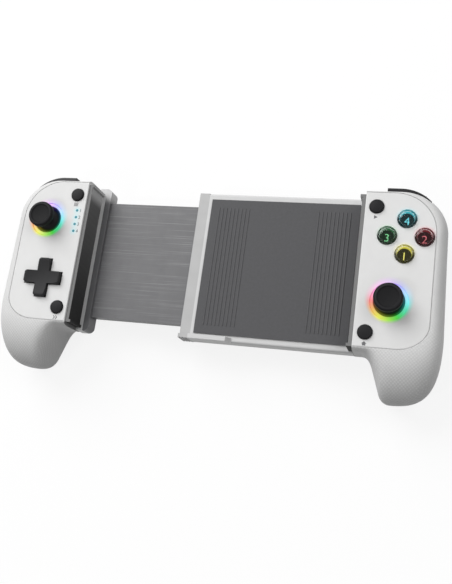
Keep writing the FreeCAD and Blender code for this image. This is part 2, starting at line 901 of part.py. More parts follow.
portGap = inside["port_gap"]
portOpening = box("port_opening", portX - portGap, portY, inside["port_height"] - portGap,
                  inside["port_thickness"] + portGap * 2, inside["port_depth"] + wellPast,
                  inside["port_width"] + portGap * 2)
rearShell = cut("rear_shell_cut", rearBlock, triggerSlot,
                boreSet("head_bores", -past, inside["screw_head_seat"] + past, seatRadius),
                boreSet("shank_bores", 0, bossBase + past, inside["screw_radius"] + inside["screw_fit"] / 2))
rightRear = cut("right_rear_cut", rearShell, portOpening)


def through(name, spot, radius):
    return cylinder(name, spot[0], spot[1], underPanel - past, radius, grip["panel_thickness"] + past * 2)


def crossCorners(span, arm):
    # A plus sign about its own middle
    far = span / 2
    near = arm / 2
    return [(far, -near), (far, near), (near, near), (near, far), (-near, far), (-near, near),
            (-far, near), (-far, -near), (-near, -near), (-near, -far), (near, -far), (near, -near)]


panelBlank = panelPlate("panel_blank", 0, numberOf(grip["panel_thickness"]), numberOf(grip["panel_edge"]))
smallHole = button["small_button_radius"] + button["button_gap"]
faceHole = button["face_button_radius"] + button["button_gap"]
rightPanel = cut(
    "right_panel_cut", panelBlank,
    through("right_ring_hole", stickPlaces["right"], ringHole),
    through("start_hole", smallPlaces["start_button"], smallHole),
    through("home_hole", smallPlaces["home_button"], smallHole),
    *[through(f"face_hole_{number}", spot, faceHole) for number, spot in facePlaces.items()],
)
crossHole = padded("cross_hole", crossPlace[0], crossPlace[1], underPanel - past,
                   crossCorners(cross["cross_span"] + cross["cross_gap"] * 2,
                                cross["cross_arm"] + cross["cross_gap"] * 2),
                   grip["panel_thickness"] + past * 2)
leftPanel = cut(
    "left_panel_cut", mirrored("panel_mirror", panelBlank),
    through("left_ring_hole", stickPlaces["left"], ringHole),
    through("select_hole", smallPlaces["select_button"], smallHole),
    through("turbo_hole", smallPlaces["turbo_button"], smallHole),
    crossHole,
    *[through(f"light_hole_{index}", spot, inside["light_radius"] + inside["light_gap"])
      for index, spot in enumerate(lightPlaces)],
)
subPart(rightPanel, "right_front_panel")
subPart(leftPanel, "left_front_panel")
subPart(frontShell, "right_front_shell")
subPart(rightRear, "right_rear_shell")
subPart(mirrored("left_front_mirror", frontShell), "left_front_shell")


# Screws of both grips, put in from the back
def screw(name, x, y):
    headFloor = inside["screw_head_seat"] - inside["screw_head_height"]
    head = cylinder(name + "_head", x, y, headFloor, inside["screw_head_radius"], inside["screw_head_height"])
    shank = cylinder(name + "_shank", x, y, headFloor, inside["screw_radius"],
                     inside["screw_head_height"] + inside["screw_length"])
    slotWidth = inside["slot_width"]
    slotLength = inside["slot_length"]
    slotHeight = inside["slot_depth"] + past
    crossCuts = [
        box(name + "_slot_x", x - slotLength / 2, y - slotWidth / 2, headFloor - past, slotLength, slotWidth,
            slotHeight),
        box(name + "_slot_y", x - slotWidth / 2, y - slotLength / 2, headFloor - past, slotWidth, slotLength,
            slotHeight),
    ]
    return cut(name, fuse(name + "_body", head, shank), *crossCuts)


shellScrews = fuse("shell_screws", *[
    screw(f"shell_screw_{spotName}", halfGap + spot[0], middle + spot[1])
    for spotName, spot in bosses.items()
])
subPart(shellScrews, "right_shell_screws")
subPart(mirrored("left_screw_mirror", shellScrews), "left_shell_screws")


# Circuit boards, one in each grip, clear of the bosses
boardX = halfGap + inside["board_in"]
boardWidth = grip["grip_width"] - inside["board_out_margin"] - inside["board_in"]
boardDown = grip["grip_low"] - inside["board_low_margin"]
boardUp = grip["grip_top"] - inside["board_top_margin"]
boardPlate = box("board_plate", boardX, middle - boardDown, inside["board_height"], boardWidth,
                 boardDown + boardUp, inside["board_thickness"])
boardTab = box("board_tab", boardX, middle, inside["board_height"],
               inside["board_tab_out"] - inside["board_in"], grip["grip_top"] - inside["board_tab_margin"],
               inside["board_thickness"])
boardRoom = bossSet("board_room", inside["board_height"] - past, inside["board_thickness"] + past * 2,
                    inside["board_gap"])
board = cut("board_cut", fuse("board_whole", boardPlate, boardTab), boardRoom)
subPart(board, "right_board")
subPart(mirrored("left_board_mirror", board), "left_board")


# Rubber mats with a dome under each button
def buttonMat(side, centre, reach, spots):
    half = reach + button["dome_radius"] + button["mat_margin"]
    matSheet = box(side + "_mat_sheet", centre[0] - half, centre[1] - half, boardTop, half * 2, half * 2,
                   button["mat_thickness"])
    domes = [
        cylinder(f"{side}_dome_{index}", spot[0], spot[1], boardTop, button["dome_radius"],
                 button["mat_thickness"] + button["dome_rise"])
        for index, spot in enumerate(spots)
    ]
    return fuse(side + "_mat", matSheet, *domes)


faceCentre = place("right", button["face_cluster_in"], button["face_cluster_up"])
subPart(buttonMat("right", faceCentre, button["face_button_spread"],
                  [*facePlaces.values(), smallPlaces["start_button"], smallPlaces["home_button"]]),
        "right_button_mat")


def domeRadius(reach, rise):
    # The ball that a dome of this reach and rise is cut from, so that its top is round
    return (reach * reach + rise * rise) / (rise * 2)


# Face buttons: a dark core with a clear cap over it, both on one stem
def faceButton(number, spot):
    radius = button["face_button_radius"]
    foot = face - button["button_foot"]
    flangeRadius = radius + button["button_flange"]
    crown = face + button["face_button_rise"]
    coreTop = crown - button["face_lens_top"]
    coreRadius = radius - button["face_lens_wall"]
    coreEdge = button["face_core_edge"]
    stemRadius = button["face_stem_radius"]
    coreFloor = flangeFloor - button["face_core_depth"]
    domeReach = radius - button["face_edge_in"]
    core = turned(f"face_core_{number}", spot[0], spot[1], 0, [
        (0, foot),
        (stemRadius, foot),
        (stemRadius, coreFloor),
        (coreRadius, coreFloor),
        (coreRadius, coreTop - coreEdge),
        (coreRadius - coreEdge, coreTop),
        (0, coreTop),
    ])
    lens = turned(f"face_lens_{number}", spot[0], spot[1], 0, [
        (coreRadius, flangeFloor),
        (flangeRadius, flangeFloor),
        (flangeRadius, flangeTop),
        (radius, flangeTop),
        (radius, crown - button["face_edge_drop"], button["face_edge"]),
        (domeReach, crown - button["face_bow"], domeRadius(domeReach, button["face_bow"])),
        (0, crown),
        (0, coreTop),
        (coreRadius - coreEdge, coreTop),
        (coreRadius, coreTop - coreEdge),
    ])
    subPart(core, f"face_button_{number}_core")
    subPart(lens, f"face_button_{number}_lens")


for number, spot in facePlaces.items():
    faceButton(number, spot)


# Small round buttons with a shallow dome
def smallButton(name, spot):
    radius = button["small_button_radius"]
    flangeRadius = radius + button["button_flange"]
    foot = face - button["button_foot"]
    stemRadius = button["small_stem_radius"]
    crown = face + button["small_button_rise"]
    domeReach = radius - button["small_edge_in"]
    body = turned(name + "_body", spot[0], spot[1], 0, [
        (0, foot),
        (stemRadius, foot),
        (stemRadius, flangeFloor),
        (flangeRadius, flangeFloor),
        (flangeRadius, flangeTop),
        (radius, flangeTop),
        (radius, crown - button["small_edge_drop"], button["small_edge"]),
        (domeReach, crown - button["small_bow"], domeRadius(domeReach, button["small_bow"])),
        (0, crown),
    ])
    subPart(body, name)


for name, spot in smallPlaces.items():
    smallButton(name, spot)


# Thumb sticks: lit ring, housing, press carriage, yoke, ball with its stem, and rubber cap
def heightAt(radius, reach):
    # How far above its middle a ball's surface is at this reach from its axis
    share = numberOf(reach) / numberOf(radius)
    return radius * math.sqrt(1 - share ** 2)


def lightRing(side):
    x, y = stickPlaces[side]
    ringOut = stick["ring_radius"]
    ringIn = ringOut - stick["ring_width"]
    ringTop = face - stick["ring_drop"]
    soft = stick["ring_soft"]
    return turned(side + "_ring_body", x, y, 0, [
        (ringIn, ringTop - stick["ring_thickness"]),
        (ringOut, ringTop - stick["ring_thickness"]),
        (ringOut, ringTop - soft),
        (ringOut - soft, ringTop),
        (ringIn + soft, ringTop),
        (ringIn, ringTop - soft),
    ])


def stickHousing(side):
    x, y = stickPlaces[side]
    ringIn = stick["ring_radius"] - stick["ring_width"]
    ringTop = face - stick["ring_drop"]
    ringSeat = ringTop - stick["ring_thickness"]
    lipTop = ringTop - stick["lip_drop"]
    bowl = stick["ball_radius"] + stick["ball_gap"]
    wallIn = bowl + stick["bowl_step"]
    wallOut = wallIn + stick["housing_wall"]
    throat = stick["throat_radius"]
    bowlEnd = bowl - stick["bowl_edge"]
    bowlFloor = pivotHeight + heightAt(bowl, bowlEnd)
    return turned(side + "_housing_body", x, y, 0, [
        (wallIn, boardTop),
        (wallOut, boardTop),
        (wallOut, ringSeat),
        (ringIn, ringSeat),
        (ringIn, lipTop),
        (ringIn - stick["lip_flat"], lipTop),
        (throat, lipTop - stick["lip_bevel"]),
        (throat, pivotHeight + heightAt(bowl, throat), -bowl),
        (bowlEnd, bowlFloor),
        (wallIn, bowlFloor - stick["bowl_step"]),
    ])


def stickShaft(side):
    # A hollow ball on a stem, its pin across it, and the neck that carries the cap
    x, y = stickPlaces[side]
    ball = stick["ball_radius"]
    ballIn = ball - stick["ball_wall"]
    neck = stick["neck_radius"]
    stemRadius = stick["yoke_inner"] - stick["stem_gap"]
    stemFloor = pivotHeight - stick["stem_drop"]
    skirt = stick["skirt_radius"]
    skirtIn = skirt - stick["ball_wall"]
    shaft = turned(side + "_shaft_body", x, y, 0, [
        (0, stemFloor),
        (stemRadius, stemFloor),
        (stemRadius, pivotHeight + heightAt(ballIn, stemRadius), -ballIn),
        (skirtIn, pivotHeight + heightAt(ballIn, skirtIn)),
        (skirt, pivotHeight + heightAt(ball, skirt), ball),
        (neck, pivotHeight + heightAt(ball, neck)),
        (neck, capSeat),
        (0, capSeat),
    ])
    pin = cylinder(side + "_shaft_pin", x - stick["yoke_outer"], y, pivotHeight, stick["gimbal_pin"],
                   stick["yoke_outer"] * 2, rightward)
    return fuse(side + "_shaft_fuse", shaft, pin)


def stickCap(side):
    # A rubber cap with a rounded side, a rim, and a shallow dish inside the rim
    x, y = stickPlaces[side]
    neck = stick["neck_radius"]
    radius = stick["cap_radius"]
    soft = stick["cap_soft"]
    capTop = capFloor + stick["cap_thickness"]
    rim = radius - stick["cap_rim"]
    dishReach = rim - stick["cap_lip"] * 2
    dishTop = capTop - stick["cap_step"]
    return turned(side + "_cap_body", x, y, 0, [
        (neck, capFloor),
        (radius - soft, capFloor),
        (radius, capFloor + soft),
        (radius, capTop - soft - stick["cap_bevel"], soft),
        (rim, capTop - stick["cap_bevel"]),
        (rim - stick["cap_lip"], capTop),
        (dishReach, dishTop, -domeRadius(dishReach, stick["cap_dish"])),
        (0, dishTop - stick["cap_dish"]),
        (0, capSeat),
        (neck, capSeat),
    ])


def stickYoke(side):
    # A ring on two pins, bored across for the pin of the stem
    x, y = stickPlaces[side]
    half = stick["yoke_thickness"] / 2
    outer = stick["yoke_outer"]
    ring = turned(side + "_yoke_body", x, y, 0, [
        (stick["yoke_inner"], pivotHeight - half),
        (outer, pivotHeight - half),
        (outer, pivotHeight + half),
        (stick["yoke_inner"], pivotHeight + half),
    ])
    pins = cylinder(side + "_yoke_pins", x, y - stick["post_outer"], pivotHeight, stick["gimbal_pin"],
                    stick["post_outer"] * 2, backward)
    room = cylinder(side + "_yoke_middle", x, y, pivotHeight - half - past, stick["yoke_inner"],
                    half * 2 + past * 2)
    bore = cylinder(side + "_yoke_bore", x - outer - past, y, pivotHeight,
                    stick["gimbal_pin"] + stick["gimbal_fit"], outer * 2 + past * 2, rightward)
    return cut(side + "_yoke_cut", fuse(side + "_yoke_fuse", ring, pins), room, bore)


def stickCarriage(side):
    # A round plate with two posts that hold the yoke's pins
    x, y = stickPlaces[side]
    floor = boardTop + stick["press_travel"] + stick["carriage_gap"]
    outer = stick["post_outer"]
    disc = cylinder(side + "_carriage_disc", x, y, floor, outer, stick["carriage_floor"])
    postHeight = pivotHeight + stick["post_rise"] - floor
    posts = [
        box(f"{side}_post_{name}", x - stick["post_width"] / 2, start, floor, stick["post_width"],
            outer - stick["post_inner"], postHeight)
        for name, start in (("far", y + stick["post_inner"]), ("near", y - outer))
    ]
    roundForm = cylinder(side + "_carriage_form", x, y, floor - past, outer, postHeight + past * 2)
    bore = cylinder(side + "_post_bore", x, y - outer - past, pivotHeight,
                    stick["gimbal_pin"] + stick["gimbal_fit"], outer * 2 + past * 2, backward)
    whole = fuse(side + "_carriage_fuse", disc, *posts)
    return cut(side + "_carriage_cut", common(side + "_carriage_round", whole, roundForm), bore)


pivotHeight = face - stick["pivot_drop"]
capFloor = face + stick["cap_lift"]
capSeat = capFloor + stick["cap_floor"]
for side in ("right", "left"):
    subPart(lightRing(side), f"{side}_light_ring")
    subPart(stickHousing(side), f"{side}_stick_housing")
    subPart(stickCarriage(side), f"{side}_stick_carriage")
    subPart(stickYoke(side), f"{side}_stick_yoke")
    subPart(stickShaft(side), f"{side}_stick_shaft")
    subPart(stickCap(side), f"{side}_stick_cap")


# Direction cross and the rocker that it stands on
crossX, crossY = crossPlace
crossTop = face + cross["cross_rise"]
crossFloor = underPanel - cross["cross_drop"]
crossBlank = padded("cross_plate", crossX, crossY, crossFloor,
                    crossCorners(cross["cross_span"], cross["cross_arm"]), crossTop - crossFloor)


def isUpright(edge):
    return isNear(edge.BoundBox.XLength, 0) and isNear(edge.BoundBox.YLength, 0)


def endsArm(edge):
    # An upright edge at the end of an arm, not in the crook between two arms
    spot = edge.BoundBox.Center
    reaches = (abs(spot.x - numberOf(crossX)), abs(spot.y - numberOf(crossY)))
    return isUpright(edge) and any(isNear(reach, cross["cross_span"] / 2) for reach in reaches)


def isOnTop(edge):
    return isNear(edge.BoundBox.ZMin, crossTop)


crossRounded = softened("cross_rounded", crossBlank, cross["cross_corner"], endsArm)
crossPlate = softened("cross_soft_plate", crossRounded, cross["cross_soft"], isOnTop)
dishRadius = cross["cross_dish_radius"]
crossDish = ball("cross_dish", crossX, crossY, crossTop - cross["cross_dish"] + dishRadius, dishRadius)
flangeDiscFloor = crossFloor - cross["cross_flange_thickness"]
crossFlange = cylinder("cross_flange_disc", crossX, crossY, flangeDiscFloor, cross["cross_flange"],
                       cross["cross_flange_thickness"])
ballHeight = underPanel - cross["cross_ball_drop"]
ballRadius = cross["cross_ball"]
ballRoom = ballRadius + cross["cross_ball_fit"]
socketFloor = ballHeight - cross["cross_socket_reach"]
crossSocket = cylinder("cross_socket", crossX, crossY, socketFloor, ballRoom + cross["cross_socket_wall"],
                       crossFloor - socketFloor)
crossBore = fuse("cross_bore", ball("cross_cup", crossX, crossY, ballHeight, ballRoom),
                 cylinder("cross_cup_mouth", crossX, crossY, socketFloor - past, ballRoom,
                          ballHeight - socketFloor + past))
padReach = cross["cross_span"] / 2 - cross["cross_foot_inset"]
padSpots = [(crossX + padReach * step[0], crossY + padReach * step[1]) for step in faceSpots.values()]
crossFoot = face - button["button_foot"]
crossFeet = [
    cylinder(f"cross_foot_{index}", spot[0], spot[1], crossFoot, cross["cross_foot"], crossFloor - crossFoot)
    for index, spot in enumerate(padSpots)
]
crossWhole = fuse("cross_fuse", crossPlate, crossFlange, crossSocket, *crossFeet)
subPart(cut("cross_cut", crossWhole, crossDish, crossBore), "dpad")
postRadius = cross["cross_post_radius"]
postTop = ballHeight - cross["cross_post_drop"]
crossPost = cut("cross_post_cut",
                cylinder("cross_post", crossX, crossY, boardTop, postRadius, postTop - boardTop),
                ball("cross_post_cup", crossX, crossY, ballHeight, ballRoom))
subPart(crossPost, "dpad_post")
subPart(ball("cross_ball", crossX, crossY, ballHeight, ballRadius), "dpad_pivot")
leftMat = buttonMat("left", crossPlace, padReach,
                    [*padSpots, smallPlaces["select_button"], smallPlaces["turbo_button"]])
postHole = cylinder("mat_post_hole", crossX, crossY, boardTop - past, postRadius + cross["cross_post_gap"],
                    button["mat_thickness"] + past * 2)
subPart(cut("left_mat_cut", leftMat, postHole), "left_button_mat")


# Light pipes of the four status lights
lights = [
    cylinder(f"light_pipe_{index}", spot[0], spot[1], boardTop, inside["light_radius"],
             face + inside["light_rise"] - boardTop)
    for index, spot in enumerate(lightPlaces)
]
subPart(fuse("light_pipes", *lights), "status_lights")


# Shoulder buttons on upright pins, triggers on pins along the top wall
def facesOut(edge):
    # A level edge along the bumper's outer side
    points = [vertex.Point for vertex in edge.Vertexes]
    straight = all(isNear(point.y, bumperCentreY + shoulder["bumper_radius"]) for point in points)
    bent = all(
        isNear(math.hypot(point.x - numberOf(bumperCentreX), point.y - numberOf(bumperCentreY)),
               shoulder["bumper_radius"])
        for point in points
    )
    return isNear(edge.BoundBox.ZLength, 0) and (straight or bent)


bumperBar = softened("bumper_soft_bar", bumperBand("bumper_solid", 0, 0), shoulder["bumper_soft"], facesOut)
bumperBore = cylinder("bumper_bore", bumperPinX, bumperPinY, bumperFloor - past,
                      shoulder["bumper_pin"] + shoulder["pin_fit"], bumperHeight + past * 2)
bumper = cut("bumper_bored", bumperBar, bumperBore)
triggerY = middle + triggerReach
hingeZ = triggerHingeHeight
lowZ = shoulder["trigger_low"]
triggerUnder = shoulder["trigger_under"]
triggerBrow = shoulder["trigger_brow"]
triggerCrown = shoulder["trigger_crown"]
triggerBack = shoulder["trigger_back"]
triggerToe = shoulder["trigger_toe"]
triggerBlank = padded("trigger_blank", triggerStart, 0, 0, [
    (triggerHingeY - triggerBack, hingeZ - triggerUnder),
    (triggerHingeY + shoulder["trigger_waist"] / 2, hingeZ - triggerBrow),
    (triggerHingeY + triggerBrow, lowZ + triggerToe * 3),
    (triggerHingeY + shoulder["trigger_waist"], lowZ),
    (triggerY - triggerToe, lowZ, triggerToe),
    (triggerY, lowZ + triggerToe, -shoulder["trigger_bow"]),
    (triggerY - shoulder["trigger_lean"], hingeZ - triggerUnder, triggerBrow),
    (triggerY - triggerBrow, hingeZ + triggerCrown),
    (triggerHingeY - triggerBack / 4, hingeZ + triggerCrown),
    (triggerHingeY - triggerBack, hingeZ + triggerCrown / 3),
], shoulder["trigger_width"], "YZ_Plane")
triggerPlan = box("trigger_plan", triggerStart, triggerHingeY - triggerBack - past, lowZ - past,
                  shoulder["trigger_width"], triggerY - triggerHingeY + triggerBack + past,
                  hingeZ - lowZ + triggerCrown + past * 2)


def cornersFinger(edge):
    # An upright edge on the side that the finger pulls
    return isUpright(edge) and isNear(edge.BoundBox.YMin, triggerY)


triggerForm = softened("trigger_soft_plan", triggerPlan, shoulder["trigger_soft"], cornersFinger)
triggerBore = cylinder("trigger_bore", triggerStart - past, triggerHingeY, hingeZ,
                       shoulder["trigger_pin"] + shoulder["pin_fit"], shoulder["trigger_width"] + past * 2,
                       rightward)
trigger = cut("trigger_bored", common("trigger_lever", triggerBlank, triggerForm), triggerBore)
triggerPin = cylinder("trigger_pin_body", pinStart, triggerHingeY, hingeZ, shoulder["trigger_pin"], pinLength,
                      rightward)
bumperPin = cylinder("bumper_pin_body", bumperPinX, bumperPinY, bumperPinFloor, shoulder["bumper_pin"],
                     bumperPinHeight)
pins = fuse("shoulder_pins", triggerPin, bumperPin)
for node, source in (("bumper", bumper), ("trigger", trigger), ("shoulder_pins", pins)):
    subPart(source, f"right_{node}")
    subPart(mirrored(f"left_{node}_mirror", source), f"left_{node}")


# Charging port at the top of the right grip
portZ = inside["port_height"]
portThickness = inside["port_thickness"]
portDepth = inside["port_depth"]
portWidth = inside["port_width"]
portWall = inside["port_wall"]
portInset = inside["port_tongue_inset"]
portBody = box("port_body", portX, portY, portZ, portThickness, portDepth, portWidth)
portMouth = box("port_mouth", portX + portWall, portY + inside["port_floor"], portZ + portWall,
                portThickness - portWall * 2, portDepth, portWidth - portWall * 2)
portTongue = box("port_tongue", portX + (portThickness - inside["port_tongue"]) / 2, portY, portZ + portInset,
                 inside["port_tongue"], portDepth - portInset, portWidth - portInset * 2)
subPart(fuse("port_fuse", cut("port_shell", portBody, portMouth), portTongue), "charging_port")


# Battery cell in the left handle, on two ribs of the rear shell
cellX, cellY = place("left", grip["grip_width"] - inside["cell_out_margin"], -inside["cell_down"])
subPart(box("cell_block", cellX, cellY, inside["cell_floor"], inside["cell_width"], inside["cell_height"],
            inside["cell_thickness"]), "battery")
ribTop = inside["cell_floor"] - grip["wall_gap"]
ribPlaces = (cellY + inside["cell_rib_inset"],
             cellY + inside["cell_height"] - inside["cell_rib_inset"] - boss["boss_web"])
cellRibs = fuse("cell_ribs", *[
    box(f"cell_rib_{index}", cellX, place, boss["boss_foot"], inside["cell_width"], boss["boss_web"],
        ribTop - boss["boss_foot"])
    for index, place in enumerate(ribPlaces)
])
subPart(fuse("left_rear_fuse", mirrored("left_rear_mirror", rearShell),
             common("cell_ribs_inside", mirrored("grip_mirror", grooved), cellRibs)), "left_rear_shell")


# The bridge: a flat sleeve on the right grip, and a tongue on the left one that slides in it
sleeveX = bridge["sleeve_end"]
bridgeMiddle = middle + bridge["sleeve_rise"]
sleeveLow = bridgeMiddle - bridge["sleeve_height"] / 2
sleeveLength = halfGap - grip["wall_gap"] - sleeveX
splitHeight = bridge["sleeve_floor"] + bridge["sleeve_split"]
wallHeight = bridge["sleeve_wall"]
cavityHeight = bridge["sleeve_thickness"] - wallHeight * 2
tongueHeight = bridge["sleeve_height"] - bridge["tongue_margin"] * 2
cavityWidth = tongueHeight + bridge["slide_fit"] * 2
capLength = bridge["end_cap_length"]
cavityEnd = halfGap - grip["wall_gap"] - bridge["sleeve_back"]
cavity = box("sleeve_cavity", sleeveX - past, bridgeMiddle - cavityWidth / 2, bridge["sleeve_floor"] + wallHeight,
             cavityEnd - sleeveX + past, cavityWidth, cavityHeight)
coverX = sleeveX + capLength
coverLength = sleeveLength - capLength
sharpFront = box("sleeve_front_plate", coverX, sleeveLow, splitHeight, coverLength, bridge["sleeve_height"],
                 sleeveTop - splitHeight)
sharpRear = box("sleeve_rear_plate", coverX, sleeveLow, bridge["sleeve_floor"], coverLength,
                bridge["sleeve_height"], splitHeight - bridge["sleeve_floor"])


def runsAlong(height):
    # A test for the long edges of the sleeve at this height
    def test(edge):
        extent = edge.BoundBox
        isLong = isNear(extent.XLength, coverLength) and isNear(extent.YLength, 0)
        return isLong and isNear(extent.ZMin, height)

    return test


frontCover = softened("sleeve_front_soft", sharpFront, bridge["sleeve_soft"], runsAlong(sleeveTop))
rearCover = softened("sleeve_rear_soft", sharpRear, bridge["sleeve_soft"], runsAlong(bridge["sleeve_floor"]))
lipRoot = sleeveTop - bridge["lip_root"]
lipTop = sleeveTop + bridge["lip_rise"]
lipEnd = coverX + bridge["lip_length"]
lipSlant = bridge["lip_slant"]
lipSoft = bridge["lip_soft"]
lipBlock = padded("sleeve_lip", 0, sleeveLow + bridge["lip_thickness"], 0, [
    (coverX, lipRoot),
    (lipEnd + lipSlant, lipRoot),
    (lipEnd + lipSlant, sleeveTop),
    (lipEnd, lipTop - lipSoft, lipSoft * 1.5),
    (lipEnd - lipSoft, lipTop),
    (coverX, lipTop),
], bridge["lip_thickness"], "XZ_Plane")
channelWidth = (bridge["sleeve_height"] - cavityWidth) / 2 - wallHeight * 2
channelInset = bridge["channel_inset"]
channels = [
    box(f"sleeve_channel_{index}", coverX + channelInset, low, bridge["sleeve_floor"] + wallHeight,
        coverLength - channelInset * 2, channelWidth, splitHeight)
    for index, low in enumerate((sleeveLow + wallHeight, bridgeMiddle + cavityWidth / 2 + wallHeight))
]

# The screws that hold the two covers together
screwInset = bridge["cover_screw_inset"]
coverScrewSpots = [
    (x, bridgeMiddle + sign * (bridge["sleeve_height"] / 2 - screwInset))
    for x in (coverX + screwInset, coverX + coverLength - screwInset)
    for sign in (1, -1)
]
coverFloor = bridge["sleeve_floor"]
coverScrewLength = bridge["cover_screw_length"]
coverFit = bridge["cover_screw_fit"]
headDrop = bridge["cover_head_drop"]
headHeight = bridge["cover_head_height"]
headRadius = bridge["cover_head_radius"]


def underCover(name, radius, height, gap):
    # A rod at each screw's place, from a gap above the cover's underside
    return [
        cylinder(f"{name}_{index}", spot[0], spot[1], coverFloor + gap, radius, height)
        for index, spot in enumerate(coverScrewSpots)
    ]


boreRadius = bridge["cover_screw_radius"] + coverFit
coverBores = underCover("cover_bore", boreRadius, coverScrewLength + past * 2, -past)
coverSeats = underCover("cover_seat", headRadius + coverFit * 3, headDrop + headHeight + past, -past)
coverScrews = [
    *underCover("cover_head", headRadius, headHeight, headDrop),
    *underCover("cover_shank", bridge["cover_screw_radius"], coverScrewLength, headDrop),
]
frontWhole = fuse("front_cover_fuse", frontCover, lipBlock)
subPart(cut("front_cover_cut", frontWhole, cavity, *coverBores), "bridge_front_cover")
subPart(cut("rear_cover_cut", rearCover, cavity, *channels, *coverBores, *coverSeats), "bridge_rear_cover")
subPart(fuse("cover_screws", *coverScrews), "bridge_screws")
capPlate = box("end_cap_plate", sleeveX, sleeveLow, coverFloor, capLength, bridge["sleeve_height"],
               bridge["sleeve_thickness"])
capLip = box("end_cap_lip", sleeveX, sleeveLow, lipRoot, capLength, bridge["lip_thickness"],
             bridge["lip_rise"] - bridge["lip_step"])
ribWidth = bridge["rib_width"]
capGrooves = [
    box(f"end_cap_groove_{index}", sleeveX + ribWidth * (index * 2 + 1), sleeveLow - past, coverFloor - past,
        ribWidth, past + bridge["rib_depth"], bridge["sleeve_thickness"] + bridge["lip_rise"] + past * 2)
    for index in range(3)
]
capWhole = fuse("end_cap_fuse", capPlate, capLip)
subPart(cut("end_cap_cut", capWhole, cavity, *capGrooves), "bridge_end_cap")
padMargin = bridge["pad_margin"]
padLength = coverLength - bridge["phone_pad_thickness"] - padMargin * 2
sheetHeight = bridge["sleeve_height"] - bridge["pad_side_margin"] * 2
frontPad = box("bridge_pad_sheet", coverX + padMargin, bridgeMiddle - sheetHeight / 2, sleeveTop, padLength,
               sheetHeight, bridge["pad_thickness"])
subPart(frontPad, "bridge_pad")


# The tongue, and the two springs in its bores that pull the grips together
tongueThickness = cavityHeight - bridge["slide_fit"] * 2
tongueStart = bridge["tongue_root"] - halfGap
tongueLength = bridge["tongue_tip"] - tongueStart
tongueFloor = coverFloor + wallHeight + bridge["slide_fit"]
tongueLow = bridgeMiddle - tongueHeight / 2
tongueSize = (tongueLength, tongueHeight, tongueThickness)
tongueBlock = box("tongue_block", tongueStart, tongueLow, tongueFloor, *tongueSize)
springHeight = tongueFloor + tongueThickness / 2
springStart = tongueStart + bridge["spring_inset"]
springLength = cavityEnd - bridge["spring_end_gap"] - springStart
springRadius = bridge["spring_diameter"] / 2
springBores = []
springTubes = []
for index, sign in enumerate((1, -1)):
    y = bridgeMiddle + bridge["spring_spacing"] / 2 * sign
    springBores.append(cylinder(f"spring_bore_{index}", springStart, y, springHeight,
                                bridge["spring_bore"] / 2, tongueLength, rightward))
    tube = cylinder(f"spring_outside_{index}", springStart, y, springHeight, springRadius, springLength,
                    rightward)
    core = cylinder(f"spring_inside_{index}", springStart - past, y, springHeight,
                    springRadius - bridge["spring_wall"], springLength + past * 2, rightward)
    springTubes.append(cut(f"spring_{index}", tube, core))
subPart(cut("tongue_cut", tongueBlock, *springBores), "slide_plate")
subPart(fuse("springs", *springTubes), "retract_springs")


# The stub on the left grip that the tongue stands in, and the rounded stop that the sleeve closes on
stubX = grip["wall_gap"] - halfGap
stubHeight = bridge["sleeve_height"] + bridge["stub_overhang"] * 2
stubLow = bridgeMiddle - stubHeight / 2
stopLength = bridge["stop_length"]
stopX = stubX + bridge["stub_length"] - stopLength
stubBody = box("stub_block", stubX, stubLow, coverFloor, stopX - stubX, stubHeight,
               bridge["sleeve_thickness"])
stopBody = box("stop_block", stopX, stubLow, coverFloor, stopLength, stubHeight,
               bridge["sleeve_thickness"])
tongueRoom = box("tongue_room", tongueStart, tongueLow, tongueFloor, *tongueSize)
subPart(cut("stub_cut", stubBody, tongueRoom), "bridge_stub")


def endsStop(edge):
    return isUpright(edge) and isNear(edge.BoundBox.XMin, stopX + stopLength)


stopRound = softened("stop_round", stopBody, bridge["stop_soft"], endsStop)
subPart(cut("stop_cut", stopRound, tongueRoom), "bridge_stop")


# Rubber pads that hold the phone's ends, with a hook at each corner
padLow = sleeveTop
padRise = face - bridge["phone_pad_drop"] - padLow
padDepth = bridge["phone_pad_thickness"]
padHeight = bridge["phone_pad_height"]
padBlock = box("phone_pad_block", halfGap - padDepth, middle - padHeight / 2, padLow,
               padDepth - grip["wall_gap"], padHeight, padRise)
hookThickness = bridge["hook_thickness"]
hooks = [
    box(f"phone_hook_{index}", halfGap - padDepth - bridge["hook_reach"], start, padLow,
        bridge["hook_reach"] + padDepth / 2, hookThickness, padRise)
    for index, start in enumerate((middle - padHeight / 2, middle + padHeight / 2 - hookThickness))
]
phonePad = fuse("phone_pad_fuse", padBlock, *hooks)
subPart(phonePad, "right_phone_pad")
subPart(mirrored("left_phone_pad_mirror", phonePad), "left_phone_pad")


# Nothing is written unless every object and every sub-part is sound
doc.recompute()
for item in doc.Objects:
    if "Invalid" in item.State or "Error" in item.State:
        raise RuntimeError(f"{item.Name} failed: {item.State}")
os.makedirs("parts", exist_ok=True)
for node, item in subParts.items():
    if item.Shape.isNull() or not item.Shape.isValid():
        raise RuntimeError(f"{node} has no sound shape")
for node, item in subParts.items():
    item.Shape.exportStep(f"parts/{node}.step")
    size = item.Shape.BoundBox
    print(node, len(item.Shape.Solids), round(item.Shape.Volume, 1),
          [round(value, 2) for value in (size.XMin, size.YMin, size.ZMin, size.XMax, size.YMax, size.ZMax)])
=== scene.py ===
import bpy
import math
from mathutils import Matrix, Vector


